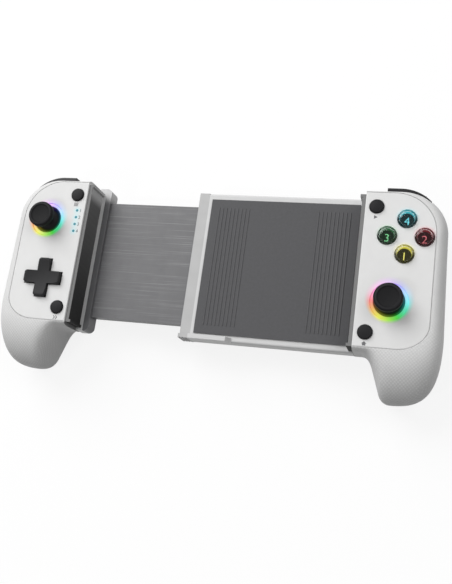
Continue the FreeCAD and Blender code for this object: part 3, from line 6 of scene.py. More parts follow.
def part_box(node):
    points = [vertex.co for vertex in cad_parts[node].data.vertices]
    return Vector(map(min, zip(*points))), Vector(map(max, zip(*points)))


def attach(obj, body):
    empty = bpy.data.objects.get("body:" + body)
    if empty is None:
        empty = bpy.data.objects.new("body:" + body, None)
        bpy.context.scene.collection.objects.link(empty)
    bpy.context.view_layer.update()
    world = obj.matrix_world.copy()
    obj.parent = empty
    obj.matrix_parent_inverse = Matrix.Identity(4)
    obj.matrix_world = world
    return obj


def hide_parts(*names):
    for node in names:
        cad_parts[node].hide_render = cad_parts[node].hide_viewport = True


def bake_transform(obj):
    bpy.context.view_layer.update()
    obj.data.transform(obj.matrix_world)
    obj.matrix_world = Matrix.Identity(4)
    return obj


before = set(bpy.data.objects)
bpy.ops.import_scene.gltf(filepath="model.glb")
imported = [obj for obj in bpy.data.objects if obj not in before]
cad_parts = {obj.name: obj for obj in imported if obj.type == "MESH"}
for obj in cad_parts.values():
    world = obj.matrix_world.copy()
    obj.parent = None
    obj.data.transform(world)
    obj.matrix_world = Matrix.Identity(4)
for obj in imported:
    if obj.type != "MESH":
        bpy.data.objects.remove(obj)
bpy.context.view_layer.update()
mm = 0.001


# Sockets and materials in plain expressions
class Wire:
    # One output of a node; sums and products of it add Math nodes
    def __init__(self, paint, socket):
        self.paint = paint
        self.socket = socket

    def __add__(self, other):
        return self.paint.maths("ADD", self, other)

    def __radd__(self, other):
        return self.paint.maths("ADD", other, self)

    def __sub__(self, other):
        return self.paint.maths("SUBTRACT", self, other)

    def __rsub__(self, other):
        return self.paint.maths("SUBTRACT", other, self)

    def __mul__(self, other):
        return self.paint.maths("MULTIPLY", self, other)

    def __rmul__(self, other):
        return self.paint.maths("MULTIPLY", other, self)

    def __truediv__(self, other):
        return self.paint.maths("DIVIDE", self, other)

    def __pow__(self, other):
        return self.paint.maths("POWER", self, other)


class Paint:
    # The nodes of a material or a world being mixed
    def __init__(self, owner):
        self.owner = owner
        owner.use_nodes = True
        self.tree = owner.node_tree
        self.tree.nodes.clear()

    def add(self, kind, settings=None, sockets=None, output=0):
        # Any node: its settings first, then the values or wires of its sockets
        node = self.tree.nodes.new(kind)
        for key, value in (settings or {}).items():
            setattr(node, key, value)
        for key, value in (sockets or {}).items():
            if isinstance(value, Wire):
                self.tree.links.new(value.socket, node.inputs[key])
            else:
                node.inputs[key].default_value = value
        return Wire(self, node.outputs[output]) if node.outputs else None

    def maths(self, operation, *values):
        return self.add("ShaderNodeMath", {"operation": operation}, dict(enumerate(values)))

    def place(self):
        # Where a point is on the object, in millimetres
        spot = self.add("ShaderNodeTexCoord", output="Object")
        return self.add("ShaderNodeVectorMath", {"operation": "SCALE"}, {0: spot, "Scale": 1 / mm})

    def axes(self, spot):
        split = self.add("ShaderNodeSeparateXYZ", {}, {0: spot})
        outputs = split.socket.node.outputs
        return [Wire(self, outputs[index]) for index in range(3)]

    def noise(self, spot, size, detail=3.0):
        return self.add("ShaderNodeTexNoise", {}, {"Vector": spot, "Scale": 1.0 / size, "Detail": detail})

    def cells(self, spot, size):
        return self.add("ShaderNodeTexVoronoi", {"feature": "F1"}, {"Vector": spot, "Scale": 1.0 / size})

    def fade(self, value, low, high, first=0.0, last=1.0):
        # From first to last, smoothly, as the value goes from low to high
        return self.add("ShaderNodeMapRange", {"interpolation_type": "SMOOTHSTEP"}, {
            "Value": value, "From Min": low, "From Max": high, "To Min": first, "To Max": last,
        })

    def mix(self, factor, first, second, blend="MIX"):
        return self.add("ShaderNodeMix", {"data_type": "RGBA", "blend_type": blend},
                        {0: factor, 6: first, 7: second}, output=2)

    def bump(self, height, strength, distance):
        sockets = {"Height": height, "Strength": strength, "Distance": distance * mm}
        return self.add("ShaderNodeBump", {}, sockets)

    def cover(self, sockets):
        shader = self.add("ShaderNodeBsdfPrincipled", {}, sockets)
        self.add("ShaderNodeOutputMaterial", {}, {"Surface": shader})
        return self.owner


def seenRays(paint):
    # 1 for the rays that show a surface to the camera, straight on, mirrored or through glass
    camera, glossy, through = [
        paint.add("ShaderNodeLightPath", output=name)
        for name in ("Is Camera Ray", "Is Glossy Ray", "Is Transmission Ray")
    ]
    return paint.maths("MAXIMUM", camera, paint.maths("MAXIMUM", glossy, through))


def newPaint(name):
    return Paint(bpy.data.materials.new(name))


def tone(red, green=None, blue=None):
    # A colour, or a grey where only one number is given
    return (red, red if green is None else green, red if blue is None else blue, 1.0)


def middleOf(node):
    low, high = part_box(node)
    return (low + high) / 2


def topOf(node):
    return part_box(node)[1].z


def dress(material, *nodes):
    for node in nodes:
        for slot in bpy.data.objects[node].material_slots:
            slot.material = material


# The light of the two stick rings and of the face buttons; lengths are in millimetres in all materials
glow = {
    "rainbowTurn": 0.5,         # cyan stands to the right of the ring
    "topReach": 4.0,            # how far the light washes over the panel above the ring
    "lowReach": 2.2,
    "ringHigh": 9.8,            # from the ring's middle to the panel
    "litFrom": (5.6, 8.4),      # what stands in the ring starts to be lit, away from its middle
    "litTo": (11.5, 10.0),      # and stops
    "litBelow": (42.5, 33.5),   # going up, it fades out between these two heights
    "litAbove": (29.0, 31.0),   # and sets in between these
}
coreGlow = {
    1: (0.95, 0.86, 0.10),
    2: (0.90, 0.06, 0.10),
    3: (0.10, 0.62, 0.20),
    4: (0.10, 0.78, 0.90),
}
ringSpots = {side: middleOf(f"{side}_light_ring") / mm for side in ("right", "left")}
faceSpots = {number: middleOf(f"face_button_{number}_core") / mm for number in coreGlow}
coreTops = {number: topOf(f"face_button_{number}_core") / mm for number in coreGlow}


def fromSpot(paint, spot):
    # How far and in which direction a point lies from a spot on the face
    x, y, _ = paint.axes(paint.place())
    across = x - spot.x
    along = y - spot.y
    away = (across * across + along * along) ** 0.5
    return across, along, away


def rainbow(paint, across, along, saturation, value):
    turn = paint.maths("ARCTAN2", along, across) / (2 * math.pi) + glow["rainbowTurn"]
    return paint.add("ShaderNodeCombineColor", {"mode": "HSV"}, {0: turn, 1: saturation, 2: value})


def upness(paint, along):
    # 0 at the ring's lower end, 1 at its upper end
    return paint.fade(along / glow["ringHigh"], -0.75, 0.75)


def ringWash(paint, along, away):
    # How strongly the ring's light falls on a place of the face
    reach = glow["lowReach"] + upness(paint, along) * (glow["topReach"] - glow["lowReach"])
    share = (away - glow["ringHigh"]) / reach
    return paint.fade(share, -0.1, 1.0, 1.0, 0.0)


panelLook = {
    "dark": (0.72, 0.72, 0.716),
    "pale": (0.78, 0.78, 0.776),
    "patches": 9.0,             # how wide the paler and darker patches are
    "grain": 0.35,
    "lightHalo": (0.6, 3.2),    # from a status light's middle, where its painted glow starts and ends
    "lightGlowTint": (0.50, 0.88, 0.94),
    "buttonHalo": (4.8, 7.0),   # the same round a face button
    "ringLight": 0.16,          # how strongly the ring's painted glow on the panel shines by itself
}


def panelPaint(side):
    paint = newPaint(f"{side}PanelWhite")
    spot = paint.place()
    mottle = paint.noise(spot, panelLook["patches"])
    white = paint.mix(mottle, tone(*panelLook["dark"]), tone(*panelLook["pale"]))
    # Painted light: the ring's glow on the panel, laid into its colour as a rainbow tint and as emission
    across, along, away = fromSpot(paint, ringSpots[side])
    wash = ringWash(paint, along, away)
    top = upness(paint, along)
    tint = rainbow(paint, across, along, 0.9 - 0.42 * top, 0.96)
    colour = paint.mix(wash * (0.85 - 0.25 * top), white, tint)
    shine = rainbow(paint, across, along, 0.95 - 0.3 * top, 1.0)
    lit = paint.mix(wash * wash, tone(0.0), shine)
    # Painted light: the glow of the status lights and of the face buttons on the panel, laid into its colour
    if side == "left":
        for light in lightSpots:
            lightAway = fromSpot(paint, light)[2]
            halo = paint.fade(lightAway, *panelLook["lightHalo"], 0.45, 0.0)
            colour = paint.mix(halo, colour, tone(*panelLook["lightGlowTint"]))
    else:
        for number, button in faceSpots.items():
            _, buttonUp, buttonAway = fromSpot(paint, button)
            halo = paint.fade(buttonAway, *panelLook["buttonHalo"], 0.4, 0.0)
            pale = [0.45 + 0.5 * part for part in coreGlow[number]]
            colour = paint.mix(halo * paint.fade(buttonUp, -2.0, 4.0, 0.15, 1.0), colour, tone(*pale))
    grain = paint.noise(spot, panelLook["grain"], 4.0)
    return paint.cover({
        "Base Color": colour,
        "Roughness": 0.45 + 0.1 * paint.noise(spot, 3.0),
        "Specular IOR Level": 0.2,
        "Emission Color": lit,
        "Emission Strength": panelLook["ringLight"],
        "Normal": paint.bump(grain, 0.12, 0.06),
    })


def ringPaint(side):
    paint = newPaint(f"{side}RingDiffuser")
    across, along, _ = fromSpot(paint, ringSpots[side])
    top = upness(paint, along)
    shine = rainbow(paint, across, along, 0.97 - 0.35 * top, 0.72 + 0.25 * top)
    dots = paint.noise(paint.place(), 1.6, 2.0)
    return paint.cover({
        "Base Color": paint.mix(0.6, tone(0.3), shine),
        "Roughness": 0.3 + 0.15 * dots,
        "Emission Color": shine,
        "Emission Strength": 0.5,
    })


def ringReflection(paint):
    # Painted reflection: the rings' colours laid as emission on what stands inside them, from the rim
    # inwards and fading upwards
    z = paint.axes(paint.place())[2]
    both = []
    for side in ("right", "left"):
        across, along, away = fromSpot(paint, ringSpots[side])
        near = paint.fade(away, *glow["litFrom"]) * paint.fade(away, *glow["litTo"])
        low = paint.fade(z, *glow["litBelow"]) * paint.fade(z, *glow["litAbove"])
        under = paint.fade(along / glow["ringHigh"], 0.9, -0.4, 0.35, 1.0)
        shine = rainbow(paint, across, along, 0.95, 0.8)
        both.append(paint.mix(near * low * under, tone(0.0), shine))
    return paint.mix(1.0, both[0], both[1], "ADD")


# The grips' shells, and the walls between which the sleeve lies
shellLook = {
    "dark": (0.65, 0.65, 0.647),
    "pale": (0.71, 0.71, 0.706),
    "patches": 6.0,
    "paintedHandleShade": 0.34,          # painted shade: the tone towards which the handles darken
    "handle": (-26.0, -52.0),   # where along Y the painted shade starts and is darkest
    "knurlPitch": 1.25,
    "knurlDepth": 0.11,
    "knurlStarts": (-14.0, -26.0),      # the grains grow between these two places along Y
    "fleck": 0.86,              # tone on top of a grain
}
wallLook = {
    "aside": (80.3, 80.05),     # how far from the middle the wall's tone sets in and is full
    "upperEnd": (49.5, 43.0),   # the same along the wall
    "rim": (34.8, 34.3),        # and above the floor
    "tone": 0.2,
}


def shellPaint():
    # Light grey plastic with a lattice of fine grains, laid on each side as that side faces, and smoother
    # towards the panel's rim; the handles darken towards their ends in painted shade; the inner walls are
    # darker, except at their upper ends
    paint = newPaint("gripShellGrey")
    spot = paint.place()
    x, y, z = paint.axes(spot)
    turn = 2 * math.pi / shellLook["knurlPitch"] * 0.707        # the rows run slantwise
    lean = paint.noise(spot, 2.2, 2.0) * 0.9
    facing = paint.axes(paint.add("ShaderNodeTexCoord", output="Normal"))
    shares = [paint.maths("ABSOLUTE", part) ** 5.0 for part in facing]
    grains = 0.0
    for share, across, along in zip(shares, (y, x, x), (z, z, y)):
        oneWay = paint.maths("SINE", (across + along + lean) * turn)
        otherWay = paint.maths("SINE", (across - along + lean) * turn)
        grains = (oneWay + otherWay) * 0.5 * share + grains
    grains = grains / (shares[0] + shares[1] + shares[2])
    fleck = paint.fade(grains, -0.3, 0.8)
    cloud = paint.noise(spot, shellLook["patches"])
    pale = paint.mix(cloud, tone(*shellLook["dark"]), tone(*shellLook["pale"]))
    # Painted shade: the handles darken towards their ends
    lower = paint.fade(y, *shellLook["handle"])
    grey = paint.mix(lower * 0.4, pale, tone(shellLook["paintedHandleShade"]))
    smooth = paint.fade(y, *shellLook["knurlStarts"], 0.25, 1.0)
    colour = paint.mix(fleck * smooth * 0.3, grey, tone(shellLook["fleck"]))
    wall = paint.fade(paint.maths("ABSOLUTE", x), *wallLook["aside"]) * paint.fade(y, *wallLook["upperEnd"])
    colour = paint.mix(wall * paint.fade(z, *wallLook["rim"]), colour, tone(wallLook["tone"]))
    fine = paint.noise(spot, 0.2, 2.0)
    return paint.cover({
        "Base Color": colour,
        "Roughness": 0.5 + 0.14 * fleck,
        "Specular IOR Level": 0.2,
        "Normal": paint.bump(grains * smooth + fine * 0.3, 0.4, shellLook["knurlDepth"]),
    })


# Moulded plastics: two tones, roughness, and where they differ from the usual the gloss, scratches, the tone
# of an upper end paled by a painted highlight and where it starts and is full, down from the piece's end,
# and how much of a stick ring's light they throw back as a painted reflection
plastics = {
    "bridgeSilver": {
        "dark": (0.58, 0.58, 0.58),
        "pale": (0.64, 0.64, 0.64),
        "roughness": 0.38,
        "pieces": ("bridge_front_cover", "bridge_rear_cover", "bridge_stub"),
    },
    "capGrey": {
        "dark": (0.42, 0.42, 0.42),
        "pale": (0.50, 0.50, 0.50),
        "roughness": 0.42,
        "pieces": ("bridge_end_cap",),
    },
    "stopGrey": {
        "dark": (0.10, 0.10, 0.105),
        "pale": (0.14, 0.14, 0.145),
        "roughness": 0.42,
        # painted highlight: the stop's upper end paler, as if strongly lit
        "upperTone": 0.58,
        "upperEnd": (10.0, 3.5),
        "pieces": ("bridge_stop",),
    },
    "tongueGrey": {
        "dark": (0.10, 0.10, 0.105),
        "pale": (0.14, 0.14, 0.145),
        "roughness": 0.4,
        "scratches": 0.35,
        "pieces": ("slide_plate",),
    },
    "controlCharcoal": {
        "dark": (0.009, 0.009, 0.010),
        "pale": (0.016, 0.016, 0.017),
        "roughness": 0.42,
        "gloss": 0.13,
        "pieces": ("start_button", "home_button", "select_button", "turbo_button", "dpad_post"),
    },
    "crossCharcoal": {
        "dark": (0.017, 0.017, 0.018),
        "pale": (0.026, 0.026, 0.027),
        "roughness": 0.42,
        "gloss": 0.13,
        "pieces": ("dpad",),
    },
    "stickCharcoal": {
        "dark": (0.008, 0.008, 0.009),
        "pale": (0.014, 0.014, 0.015),
        "roughness": 0.45,
        "gloss": 0.1,
        "ringLit": 0.22,
        "pieces": ("right_stick_shaft", "left_stick_shaft", "right_stick_housing", "left_stick_housing",
                   "right_stick_yoke", "left_stick_yoke", "right_stick_carriage", "left_stick_carriage"),
    },
    "shoulderBlack": {
        "dark": (0.006, 0.006, 0.007),
        "pale": (0.012, 0.012, 0.013),
        "roughness": 0.3,
        "gloss": 0.22,
        "pieces": ("right_bumper", "left_bumper", "right_trigger", "left_trigger"),
    },
    "cellWrap": {
        "dark": (0.05, 0.09, 0.28),
        "pale": (0.07, 0.12, 0.34),
        "roughness": 0.3,
        "pieces": ("battery",),
    },
}


def satinPaint(name):
    # Cloudy colour and fine grain, with what else the plastic's entry asks for; scratches run along X
    wanted = plastics[name]
    paint = newPaint(name)
    spot = paint.place()
    colour = paint.mix(paint.noise(spot, 7.0), tone(*wanted["dark"]), tone(*wanted["pale"]))
    # Painted highlight: a paler upper end where the plastic's entry asks for one
    if "upperTone" in wanted:
        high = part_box(wanted["pieces"][0])[1].y / mm
        starts, full = wanted["upperEnd"]
        paleUpperEnd = paint.fade(paint.axes(spot)[1], high - starts, high - full)
        colour = paint.mix(paleUpperEnd, colour, tone(wanted["upperTone"]))
    grain = paint.noise(spot, 0.3, 4.0)
    rough = wanted["roughness"] + 0.12 * paint.noise(spot, 2.5)
    if "scratches" in wanted:
        streak = paint.add("ShaderNodeMapping", {}, {"Vector": spot, "Scale": (0.02, 3.0, 1.0)})
        lines = paint.fade(paint.noise(streak, 1.0, 5.0), 0.55, 0.75)
        colour = paint.mix(lines * wanted["scratches"], colour, tone(0.5))
        rough = rough - 0.15 * lines
    sockets = {
        "Base Color": colour,
        "Roughness": rough,
        "Specular IOR Level": wanted.get("gloss", 0.5),
        "Normal": paint.bump(grain, 0.18, 0.05),
    }
    if "ringLit" in wanted:
        sockets["Emission Color"] = ringReflection(paint)
        sockets["Emission Strength"] = wanted["ringLit"]
    return paint.cover(sockets)


# Soft rubbers: two tones of their dust; the ribs are made further down
rubbers = {
    "bridgePadRubber": {
        "dark": (0.045, 0.045, 0.048),
        "pale": (0.075, 0.075, 0.08),
        "pieces": ("bridge_pad",),
    },
    "matSilicone": {
        "dark": (0.62, 0.62, 0.6),
        "pale": (0.72, 0.72, 0.7),
        "pieces": ("right_button_mat", "left_button_mat"),
    },
    "ribRubber": {
        "dark": (0.05, 0.05, 0.053),
        "pale": (0.085, 0.085, 0.09),
    },
}


def rubberPaint(name):
    # A powdery grain
    wanted = rubbers[name]
    paint = newPaint(name)
    spot = paint.place()
    dust = paint.noise(spot, 1.2, 5.0)
    return paint.cover({
        "Base Color": paint.mix(dust, tone(*wanted["dark"]), tone(*wanted["pale"])),
        "Roughness": 0.62 + 0.14 * dust,
        "Sheen Weight": 0.08,
        "Normal": paint.bump(paint.noise(spot, 0.18, 3.0), 0.25, 0.08),
    })


gripPadLook = {
    "ribPitch": 1.5,
    "shadedLowTone": 0.012,
    "highTone": 0.16,
    "face": (-34.0, 46.0),      # where along Y the painted shade's low tone ends and the high one is full
    "upperTone": 0.5,           # at the very upper end
    "upperEnd": (11.0, 4.0),    # where that starts and is full, down from the pad's end
    "edgeTone": 0.21,
    "edge": (33.5, 33.85),      # heights between which the front edge's tone sets in
}


def phonePadPaint():
    # Ribbed rubber, grey along its front edge, pale at its upper end and darker down its face in painted
    # shade
    paint = newPaint("phonePadRubber")
    spot = paint.place()
    _, y, z = paint.axes(spot)
    dust = paint.noise(spot, 1.2, 5.0)
    wave = paint.maths("SINE", z * (2 * math.pi / gripPadLook["ribPitch"]))
    # Painted shade: the pad darkens down its face
    paintedShadeClimb = paint.fade(y, *gripPadLook["face"])
    face = paint.mix(paintedShadeClimb, tone(gripPadLook["shadedLowTone"]), tone(gripPadLook["highTone"]))
    colour = paint.mix(dust * 0.25, face, tone(0.12))
    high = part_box("left_phone_pad")[1].y / mm
    starts, full = gripPadLook["upperEnd"]
    paleUpperEnd = paint.fade(y, high - starts, high - full)
    colour = paint.mix(paleUpperEnd, colour, tone(gripPadLook["upperTone"]))
    grooves = paint.fade(wave, -1.0, 0.2, 0.5, 0.0) * (1 - paleUpperEnd)
    colour = paint.mix(grooves, colour, tone(0.02))
    colour = paint.mix(paint.fade(z, *gripPadLook["edge"]), colour, tone(gripPadLook["edgeTone"]))
    return paint.cover({
        "Base Color": colour,
        "Roughness": 0.62 + 0.14 * dust,
        "Specular IOR Level": 0.15,
        "Normal": paint.bump(wave + paint.noise(spot, 0.18, 3.0) * 0.3, 0.25, 0.08),
    })


crownLook = {
    "rim": 6.1,                 # radius of the brighter rim
    "rimFade": (0.75, 0.1),     # off that radius, where the brighter tone starts and is full
    "top": (44.0, 44.7),        # the same in height
    "rimTone": (0.035, 0.035, 0.038),
    "dishTone": (0.008, 0.008, 0.009),
    "dust": 0.016,
}


def crownPaint():
    # Rubber of the stick caps: a brighter rim round a dark dish
    paint = newPaint("stickCapRubber")
    spot = paint.place()
    height = paint.noise(spot, 0.22, 4.0)
    z = paint.axes(spot)[2]
    right = fromSpot(paint, ringSpots["right"])[2]
    left = fromSpot(paint, ringSpots["left"])[2]
    away = paint.maths("MINIMUM", right, left)
    rim = paint.fade(paint.maths("ABSOLUTE", away - crownLook["rim"]), *crownLook["rimFade"])
    top = paint.fade(z, *crownLook["top"])
    colour = paint.mix(rim * top * 0.5, tone(*crownLook["dishTone"]), tone(*crownLook["rimTone"]))
    colour = paint.mix(paint.noise(spot, 2.0) * 0.4, colour, tone(crownLook["dust"]))
    return paint.cover({
        "Base Color": colour,
        "Roughness": 0.5 + 0.15 * height,
        "Specular IOR Level": 0.1,
        # Painted reflection of the stick rings' light on the cap
        "Emission Color": ringReflection(paint),
        "Emission Strength": 0.2,
        "Normal": paint.bump(height, 0.2, 0.06),
    })


def metalPaint(name, colour, roughness):
    # Turned metal, a quarter darker in places
    paint = newPaint(name)
    spot = paint.place()
    turned = paint.noise(spot, 0.5, 4.0)
    return paint.cover({
        "Base Color": paint.mix(turned, tone(*colour), tone(*[part * 0.75 for part in colour])),
        "Metallic": 1.0,
        "Roughness": roughness + 0.15 * turned,
        "Normal": paint.bump(turned, 0.1, 0.03),
    })


boardLook = {
    "lacquer": (0.008, 0.055, 0.028),
    "track": (0.02, 0.13, 0.06),
    "solder": (0.65, 0.64, 0.6),
    "tracksPerMm": 0.45,
    "padSpacing": 3.1,
}


def boardPaint():
    # Green lacquer over copper tracks, with soldered pads
    paint = newPaint("boardLacquer")
    spot = paint.place()
    x, y, _ = paint.axes(spot)
    across = paint.maths("FRACT", x * boardLook["tracksPerMm"] + paint.noise(spot, 9.0) * 2.0)
    along = paint.maths("FRACT", y * boardLook["tracksPerMm"] + paint.noise(spot, 7.0) * 2.0)
    tracks = paint.fade(across, 0.62, 0.7) + paint.fade(along, 0.72, 0.8)
    copper = paint.maths("MINIMUM", tracks, 1.0)
    colour = paint.mix(copper, tone(*boardLook["lacquer"]), tone(*boardLook["track"]))
    dabs = paint.fade(paint.cells(spot, boardLook["padSpacing"]), 0.18, 0.14)
    return paint.cover({
        "Base Color": paint.mix(dabs, colour, tone(*boardLook["solder"])),
        "Metallic": dabs,
        "Roughness": 0.35 + 0.1 * dabs,
        "Normal": paint.bump(tracks + dabs, 0.3, 0.05),
    })


# The face buttons: dark cores lit round their top edge, under clear caps
coreShape = {
    "edge": 3.95,               # radius of the core
    "shadowRadius": 0.88,       # the dark disc inside the lit crescent, as shares of the edge
    "shadowDrop": 0.28,
    "crescents": {1: 0.75, 2: 0.16, 3: 0.18, 4: 0.6},       # how bright each core's crescent is
    "rims": {1: 0.15, 2: 0.06, 3: 0.05, 4: 0.13},           # and each cap's rim
    "deep": 0.03,               # the light that is left on the dark disc
    "lensRim": (3.5, 4.3),      # away from the button's middle, where the cap's rim starts and is full
    "lensUpper": (-0.5, 3.6),   # up from the middle, the same for its upper part
}


def corePaint(number):
    paint = newPaint(f"faceCore{number}")
    centre = faceSpots[number]
    away = fromSpot(paint, centre)[2]
    edge = coreShape["edge"]
    shadow = Vector((centre.x, centre.y - coreShape["shadowDrop"] * edge, 0))
    shadowAway = fromSpot(paint, shadow)[2]
    radius = coreShape["shadowRadius"]
    crescent = paint.fade(shadowAway / edge, radius - 0.04, radius + 0.14)
    ring = paint.fade(away / edge, 0.93, 0.99)
    height = paint.axes(paint.place())[2]
    onTop = paint.fade(height, coreTops[number] - 0.9, coreTops[number] - 0.05)
    tint = coreGlow[number]
    light = (crescent * coreShape["crescents"][number] + ring * 0.05) * onTop + coreShape["deep"]
    lit = paint.mix(paint.maths("MINIMUM", light, 1.0), tone(0.0), tone(*tint))
    return paint.cover({
        "Base Color": paint.mix(crescent * onTop * 0.2, tone(0.004), tone(*[part * 0.4 for part in tint])),
        "Roughness": 0.3 + 0.2 * paint.noise(paint.place(), 1.5),
        "Specular IOR Level": 0.1,
        "Emission Color": lit,
        "Emission Strength": 0.8,
    })


def lensPaint(number):
    # Clear plastic; the core's light gathers in the upper part of its rim
    paint = newPaint(f"clearCap{number}")
    flow = paint.noise(paint.place(), 4.0, 2.0)
    _, along, away = fromSpot(paint, faceSpots[number])
    rim = paint.fade(away, *coreShape["lensRim"]) * paint.fade(along, *coreShape["lensUpper"])
    return paint.cover({
        "Base Color": tone(0.96, 0.97, 0.97),
        "Roughness": 0.02 + 0.02 * flow,
        "IOR": 1.3,
        "Transmission Weight": 1.0,
        "Emission Color": paint.mix(rim, tone(0.0), tone(*coreGlow[number])),
        "Emission Strength": coreShape["rims"][number],
        "Normal": paint.bump(flow, 0.03, 0.05),
    })


def inkPaint(name, colour, shine=0.0):
    # Printed marks: slightly uneven ink
    paint = newPaint(name)
    patch = paint.noise(paint.place(), 0.4, 3.0)
    ink = paint.mix(patch, tone(*colour), tone(*[min(1.0, part * 1.12) for part in colour]))
    return paint.cover({
        "Base Color": ink,
        "Roughness": 0.5 + 0.1 * patch,
        "Emission Color": ink,
        "Emission Strength": shine,
    })


# Meshes of small marks
def meshPiece(name, mesh, material, body=None):
    mesh.materials.clear()
    mesh.materials.append(material)
    piece = bpy.data.objects.new(name, mesh)
    bpy.context.scene.collection.objects.link(piece)
    if body:
        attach(piece, body)
    return piece


def numeral(name, text, centre, height, thickness, material, body, slimmer=0.0):
    # A plain figure, its height and thickness in metres, lying on the face at its centre
    letters = bpy.data.curves.new(name + "Curve", "FONT")
    letters.body = text
    letters.align_x = "CENTER"
    letters.align_y = "CENTER"
    letters.extrude = 0.5
    letters.offset = -slimmer
    holder = bpy.data.objects.new(name + "Holder", letters)
    bpy.context.scene.collection.objects.link(holder)
    shapes = bpy.context.evaluated_depsgraph_get()
    mesh = bpy.data.meshes.new_from_object(holder.evaluated_get(shapes))
    bpy.data.objects.remove(holder)
    low = Vector(min(vertex.co[axis] for vertex in mesh.vertices) for axis in range(3))
    high = Vector(max(vertex.co[axis] for vertex in mesh.vertices) for axis in range(3))
    size = height / (high.y - low.y)
    mesh.transform(Matrix.Translation(-(low + high) / 2))
    mesh.transform(Matrix.Diagonal((size, size, thickness, 1)))
    mesh.transform(Matrix.Translation(centre))
    return meshPiece(name, mesh, material, body)


def flatMark(name, outlines, centre, size, thickness, material, body):
    # A sign of a few outlines, each given counterclockwise and made into a thin slab on the face
    corners = []
    faces = []
    for outline in outlines:
        low = [len(corners) + step for step in range(len(outline))]
        high = [corner + len(outline) for corner in low]
        for z in (centre.z, centre.z + thickness):
            corners += [(centre.x + x * size, centre.y + y * size, z) for x, y in outline]
        faces += [low[::-1], high]
        faces += [(low[step - 1], low[step], high[step], high[step - 1]) for step in range(len(low))]
    mesh = bpy.data.meshes.new(name)
    mesh.from_pydata(corners, [], faces)
    return meshPiece(name, mesh, material, body)


# Ribs and springs, which repeat along a row
def newTree(name, inputs):
    # A Geometry Nodes group with named inputs, and the function that adds its nodes
    tree = bpy.data.node_groups.new(name, "GeometryNodeTree")
    tree.interface.new_socket("Geometry", in_out="INPUT", socket_type="NodeSocketGeometry")
    for label, kind in inputs.items():
        tree.interface.new_socket(label, in_out="INPUT", socket_type=f"NodeSocket{kind}")
    tree.interface.new_socket("Geometry", in_out="OUTPUT", socket_type="NodeSocketGeometry")

    def add(kind, settings=None, sockets=None):
        node = tree.nodes.new(kind)
        for key, value in (settings or {}).items():
            setattr(node, key, value)
        for key, value in (sockets or {}).items():
            if isinstance(value, bpy.types.NodeSocket):
                tree.links.new(value, node.inputs[key])
            else:
                node.inputs[key].default_value = value
        return node.outputs

    return tree, add


def finishRow(add, wanted, shape):
    # The shape on each point of a row, as one real mesh with its material
    row = add("GeometryNodeMeshLine", {"mode": "OFFSET"}, {
        "Count": wanted["Count"], "Start Location": wanted["Start"], "Offset": wanted["Step"],
    })
    placed = add("GeometryNodeInstanceOnPoints", {}, {"Points": row[0], "Instance": shape[0]})
    real = add("GeometryNodeRealizeInstances", {}, {"Geometry": placed[0]})
    painted = add("GeometryNodeSetMaterial", {}, {"Geometry": real[0], "Material": wanted["Finish"]})
    add("NodeGroupOutput", {}, {"Geometry": painted[0]})


def ribTree():
    # Round bars side by side: Count of them, Step apart, each as long as Bar
    tree, add = newTree("ribRow", {
        "Count": "Int", "Start": "Vector", "Step": "Vector", "Bar": "Vector", "Radius": "Float",
        "Sides": "Int", "Finish": "Material",
    })
    wanted = add("NodeGroupInput")
    half = add("ShaderNodeVectorMath", {"operation": "SCALE"}, {0: wanted["Bar"], "Scale": 0.5})
    back = add("ShaderNodeVectorMath", {"operation": "SCALE"}, {0: wanted["Bar"], "Scale": -0.5})
    spine = add("GeometryNodeCurvePrimitiveLine", {}, {"Start": back[0], "End": half[0]})
    ring = add("GeometryNodeCurvePrimitiveCircle", {}, {
        "Resolution": wanted["Sides"], "Radius": wanted["Radius"],
    })
    bar = add("GeometryNodeCurveToMesh", {}, {
        "Curve": spine[0], "Profile Curve": ring[0], "Fill Caps": True,
    })
    finishRow(add, wanted, bar)
    return tree


def springTree():
    # Coils along X side by side: Count of them, Step apart, each as long as Length
    tree, add = newTree("springRow", {
        "Count": "Int", "Start": "Vector", "Step": "Vector", "Length": "Float", "Turns": "Float",
        "Radius": "Float", "Wire": "Float", "Points": "Int", "Sides": "Int", "Finish": "Material",
    })
    wanted = add("NodeGroupInput")
    coil = add("GeometryNodeCurveSpiral", {}, {
        "Resolution": wanted["Points"], "Rotations": wanted["Turns"], "Start Radius": wanted["Radius"],
        "End Radius": wanted["Radius"], "Height": wanted["Length"],
    })
    ring = add("GeometryNodeCurvePrimitiveCircle", {}, {
        "Resolution": wanted["Sides"], "Radius": wanted["Wire"],
    })
    wire = add("GeometryNodeCurveToMesh", {}, {
        "Curve": coil[0], "Profile Curve": ring[0], "Fill Caps": True,
    })
    laid = add("GeometryNodeTransform", {}, {"Geometry": wire[0], "Rotation": (0.0, math.pi / 2, 0.0)})
    finishRow(add, wanted, laid)
    return tree


def grown(name, tree, values, body=None):
    # The tree run once with these values, kept as a plain mesh
    holder = bpy.data.objects.new(name + "Holder", bpy.data.meshes.new(name + "Empty"))
    bpy.context.scene.collection.objects.link(holder)
    row = holder.modifiers.new("row", "NODES")
    row.node_group = tree
    for item in tree.interface.items_tree:
        if item.in_out == "INPUT" and item.name in values:
            row[item.identifier] = values[item.name]
    shapes = bpy.context.evaluated_depsgraph_get()
    mesh = bpy.data.meshes.new_from_object(holder.evaluated_get(shapes))
    bpy.data.objects.remove(holder)
    return meshPiece(name, mesh, values["Finish"], body)


